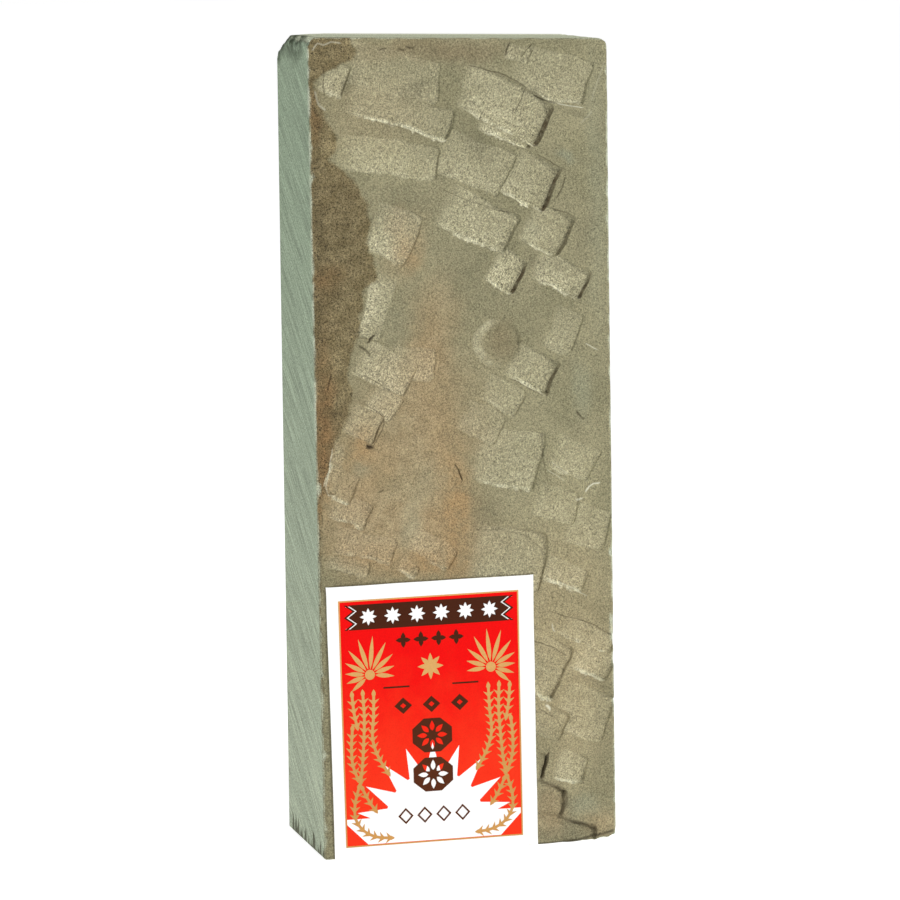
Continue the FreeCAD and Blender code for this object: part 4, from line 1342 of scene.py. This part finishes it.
def printed_piece(name, shapes, openings, front, back):
    """A thin closed solid of the shapes, less the openings, between two depths in the row frame."""
    flat, kept = kept_triangles(shapes, openings)
    used = sorted({corner for triangle in kept for corner in triangle})
    number = {corner: k for k, corner in enumerate(used)}
    kept = [tuple(number[corner] for corner in triangle) for triangle in kept]
    outline = [place_on_face(*flat[corner]) for corner in used]
    points = [(x * MM, y, z * MM) for y in (front, back) for x, z in outline]
    count = len(outline)
    edges = {(t[k], t[(k + 1) % len(t)]) for t in kept for k in range(len(t))}
    faces = kept + [tuple(corner + count for corner in reversed(t)) for t in kept]
    for a, b in sorted(edges):
        if (b, a) not in edges:
            faces.append((b, a, a + count, b + count))
    return add_mesh(name, points, faces)


def cut_edge(start, end, count, seed):
    """A hand-cut edge of the paper: very nearly straight."""
    points = []
    for number in range(count):
        share = number / count
        x = start[0] + (end[0] - start[0]) * share
        z = start[1] + (end[1] - start[1]) * share
        inwards = Vector((start[1] - end[1], end[0] - start[0])).normalized()
        wobble = 0.06 * (1 + float(noise(6 * share, seed, 1.0, seed))) * (number > 0)
        points.append((x + inwards.x * wobble, z + inwards.y * wobble))
    return points


def paper_outline():
    left = -PANEL_LEFT - PANEL_HALF
    corners = rectangle(left, 0, left + LABEL_WIDTH, LABEL_HEIGHT)
    outline = []
    for number, corner in enumerate(corners):
        outline += cut_edge(corner, corners[(number + 1) % 4], CUT_POINTS, number + 1)
    return outline


def border_shapes():
    """The panel's edge, and the smaller rectangle that leaves a thin frame of it."""
    panel = rectangle(-PANEL_HALF, PANEL_FOOT, PANEL_HALF, PANEL_TOP)
    side = PANEL_HALF - BORDER
    return [panel], [rectangle(-side, PANEL_FOOT + BORDER, side, PANEL_TOP - BORDER)]


def make_label():
    """The paper and the three inks printed on it, each in front of the one before."""
    paper_front, stone_side = (corner.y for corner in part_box("label_paper"))
    first_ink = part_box("red_print")[0].y
    second_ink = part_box("brown_print")[0].y
    panel, inner = border_shapes()
    red_ink = ink_material("red_ink", srgb(238, 52, 24), srgb(230, 8, 8), 0.5)
    brown_ink = ink_material("brown_ink", srgb(84, 42, 22), srgb(68, 32, 16), 0.55)
    gold_ink = ink_material("gold_ink", srgb(196, 146, 82), srgb(210, 162, 98), 0.42)
    for name, shapes, openings, front, back, material, node, slot in (
        ("label_sheet", [paper_outline()], [], paper_front, stone_side, paper_material(),
         "label_paper", "paper"),
        ("label_red_ink", panel, paper_openings(), first_ink, paper_front, red_ink,
         "red_print", "red_ink"),
        ("label_brown_ink", brown_shapes(), brown_openings(), second_ink, first_ink, brown_ink,
         "brown_print", "brown_ink"),
        ("label_gold_border", panel, inner, second_ink, first_ink, gold_ink, None, "gold_ink"),
        ("label_gold_leaves", gold_shapes(), [], second_ink, first_ink, gold_ink,
         "gold_print", "gold_ink"),
    ):
        piece = printed_piece(name, shapes, openings, front, back)
        piece.data.materials.append(material)
        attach(piece, "root")
        if node:
            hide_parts(node)


def paste_material():
    graph = Graph("dried_paste")
    crackle = graph.noise(1.5, 3, 0.6)
    colour = graph.mix(crackle, srgb(150, 138, 104), srgb(120, 104, 72))
    graph.bump(crackle, 0.03)
    return graph.finish(colour, 0.4)


# ---- Floor, light and camera ----

STAGE_RADIUS = 8
FLOOR_GLOW = 0.77
FLOOR_ALBEDO = 0.71

# Name, place, size, power and colour of each lamp; they aim at the middle of the stone.
LAMPS = [
    ("key", (0.75, -0.80, 0.95), 0.22, 10.8, (1.0, 0.985, 0.95)),
    ("left_fill", (-1.3, -0.5, 0.5), 0.9, 4.9, (0.95, 1.0, 1.0)),
]
LAMP_TARGET = (0, 0, 0.11)
SKY_STRENGTH = 0.34


def glowing_material(name, glow, albedo):
    material = bpy.data.materials.new(name)
    material.use_nodes = True
    surface = material.node_tree.nodes["Principled BSDF"]
    surface.inputs["Base Color"].default_value = (albedo, albedo, albedo, 1)
    surface.inputs["Roughness"].default_value = 1.0
    surface.inputs["Specular IOR Level"].default_value = 0.0
    surface.inputs["Emission Color"].default_value = (1, 1, 1, 1)
    surface.inputs["Emission Strength"].default_value = glow
    return material


def add_stage():
    """A plain pale floor, and a pale dome that only the camera sees."""
    bpy.ops.mesh.primitive_circle_add(vertices=64, radius=STAGE_RADIUS, fill_type="NGON")
    floor = bpy.context.object
    floor.name = "floor"
    floor.data.materials.append(glowing_material("pale_floor", FLOOR_GLOW, FLOOR_ALBEDO))
    bpy.ops.mesh.primitive_uv_sphere_add(segments=48, ring_count=24, radius=STAGE_RADIUS)
    dome = bpy.context.object
    dome.name = "dome"
    dome.data.materials.append(glowing_material("pale_dome", 1.0, 0.0))
    for kind in ("diffuse", "glossy", "transmission", "volume_scatter", "shadow"):
        setattr(dome, "visible_" + kind, False)


def add_lamp(name, place, size, power, colour):
    light = bpy.data.lights.new(name, "AREA")
    light.shape = "DISK"
    light.size = size
    light.energy = power
    light.color = colour
    lamp = bpy.data.objects.new(name, light)
    lamp.location = place
    aim = Vector(LAMP_TARGET) - Vector(place)
    lamp.rotation_euler = aim.to_track_quat("-Z", "Y").to_euler()
    bpy.context.scene.collection.objects.link(lamp)


def add_lights():
    """The lamps and an even white sky."""
    for lamp in LAMPS:
        add_lamp(*lamp)
    world = bpy.data.worlds.new("studio")
    world.use_nodes = True
    background = world.node_tree.nodes["Background"]
    background.inputs["Color"].default_value = (1, 1, 1, 1)
    background.inputs["Strength"].default_value = SKY_STRENGTH
    bpy.context.scene.world = world


CAMERA_AZIMUTH = -14.48
CAMERA_ELEVATION = 7.47
CAMERA_ROLL = -0.96
CAMERA_DISTANCE = 1.1
CAMERA_AIM = (-4.12, 0.0, 102.98)
CAMERA_LENS = 174.8
CAMERA_SENSOR = 36
CAMERA_REACH = 200


def add_camera():
    azimuth, elevation = math.radians(CAMERA_AZIMUTH), math.radians(CAMERA_ELEVATION)
    back = Vector((
        math.sin(azimuth) * math.cos(elevation),
        -math.cos(azimuth) * math.cos(elevation),
        math.sin(elevation),
    ))
    right = Vector((math.cos(azimuth), math.sin(azimuth), 0))
    up = back.cross(right)
    axes = Matrix((right, up, back)).transposed()
    rolled = axes @ Matrix.Rotation(math.radians(CAMERA_ROLL), 3, "Z")
    aim = Vector(to_metres([CAMERA_AIM])[0])
    lens = bpy.data.cameras.new("camera")
    lens.sensor_width = CAMERA_SENSOR
    lens.lens = CAMERA_LENS
    lens.clip_end = CAMERA_REACH
    camera = bpy.data.objects.new("camera", lens)
    camera.matrix_world = Matrix.Translation(aim + back * CAMERA_DISTANCE) @ rolled.to_4x4()
    bpy.context.scene.collection.objects.link(camera)
    bpy.context.scene.camera = camera


stone = make_stone()
stone.data.materials.append(stone_material())
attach(stone, "root")
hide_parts("stone_block")
make_label()
paste = frame["nodes"]["label_paste"]
paste.data.materials.clear()
paste.data.materials.append(paste_material())

add_stage()
add_lights()
add_camera()
bpy.context.scene.view_settings.view_transform = "Standard"
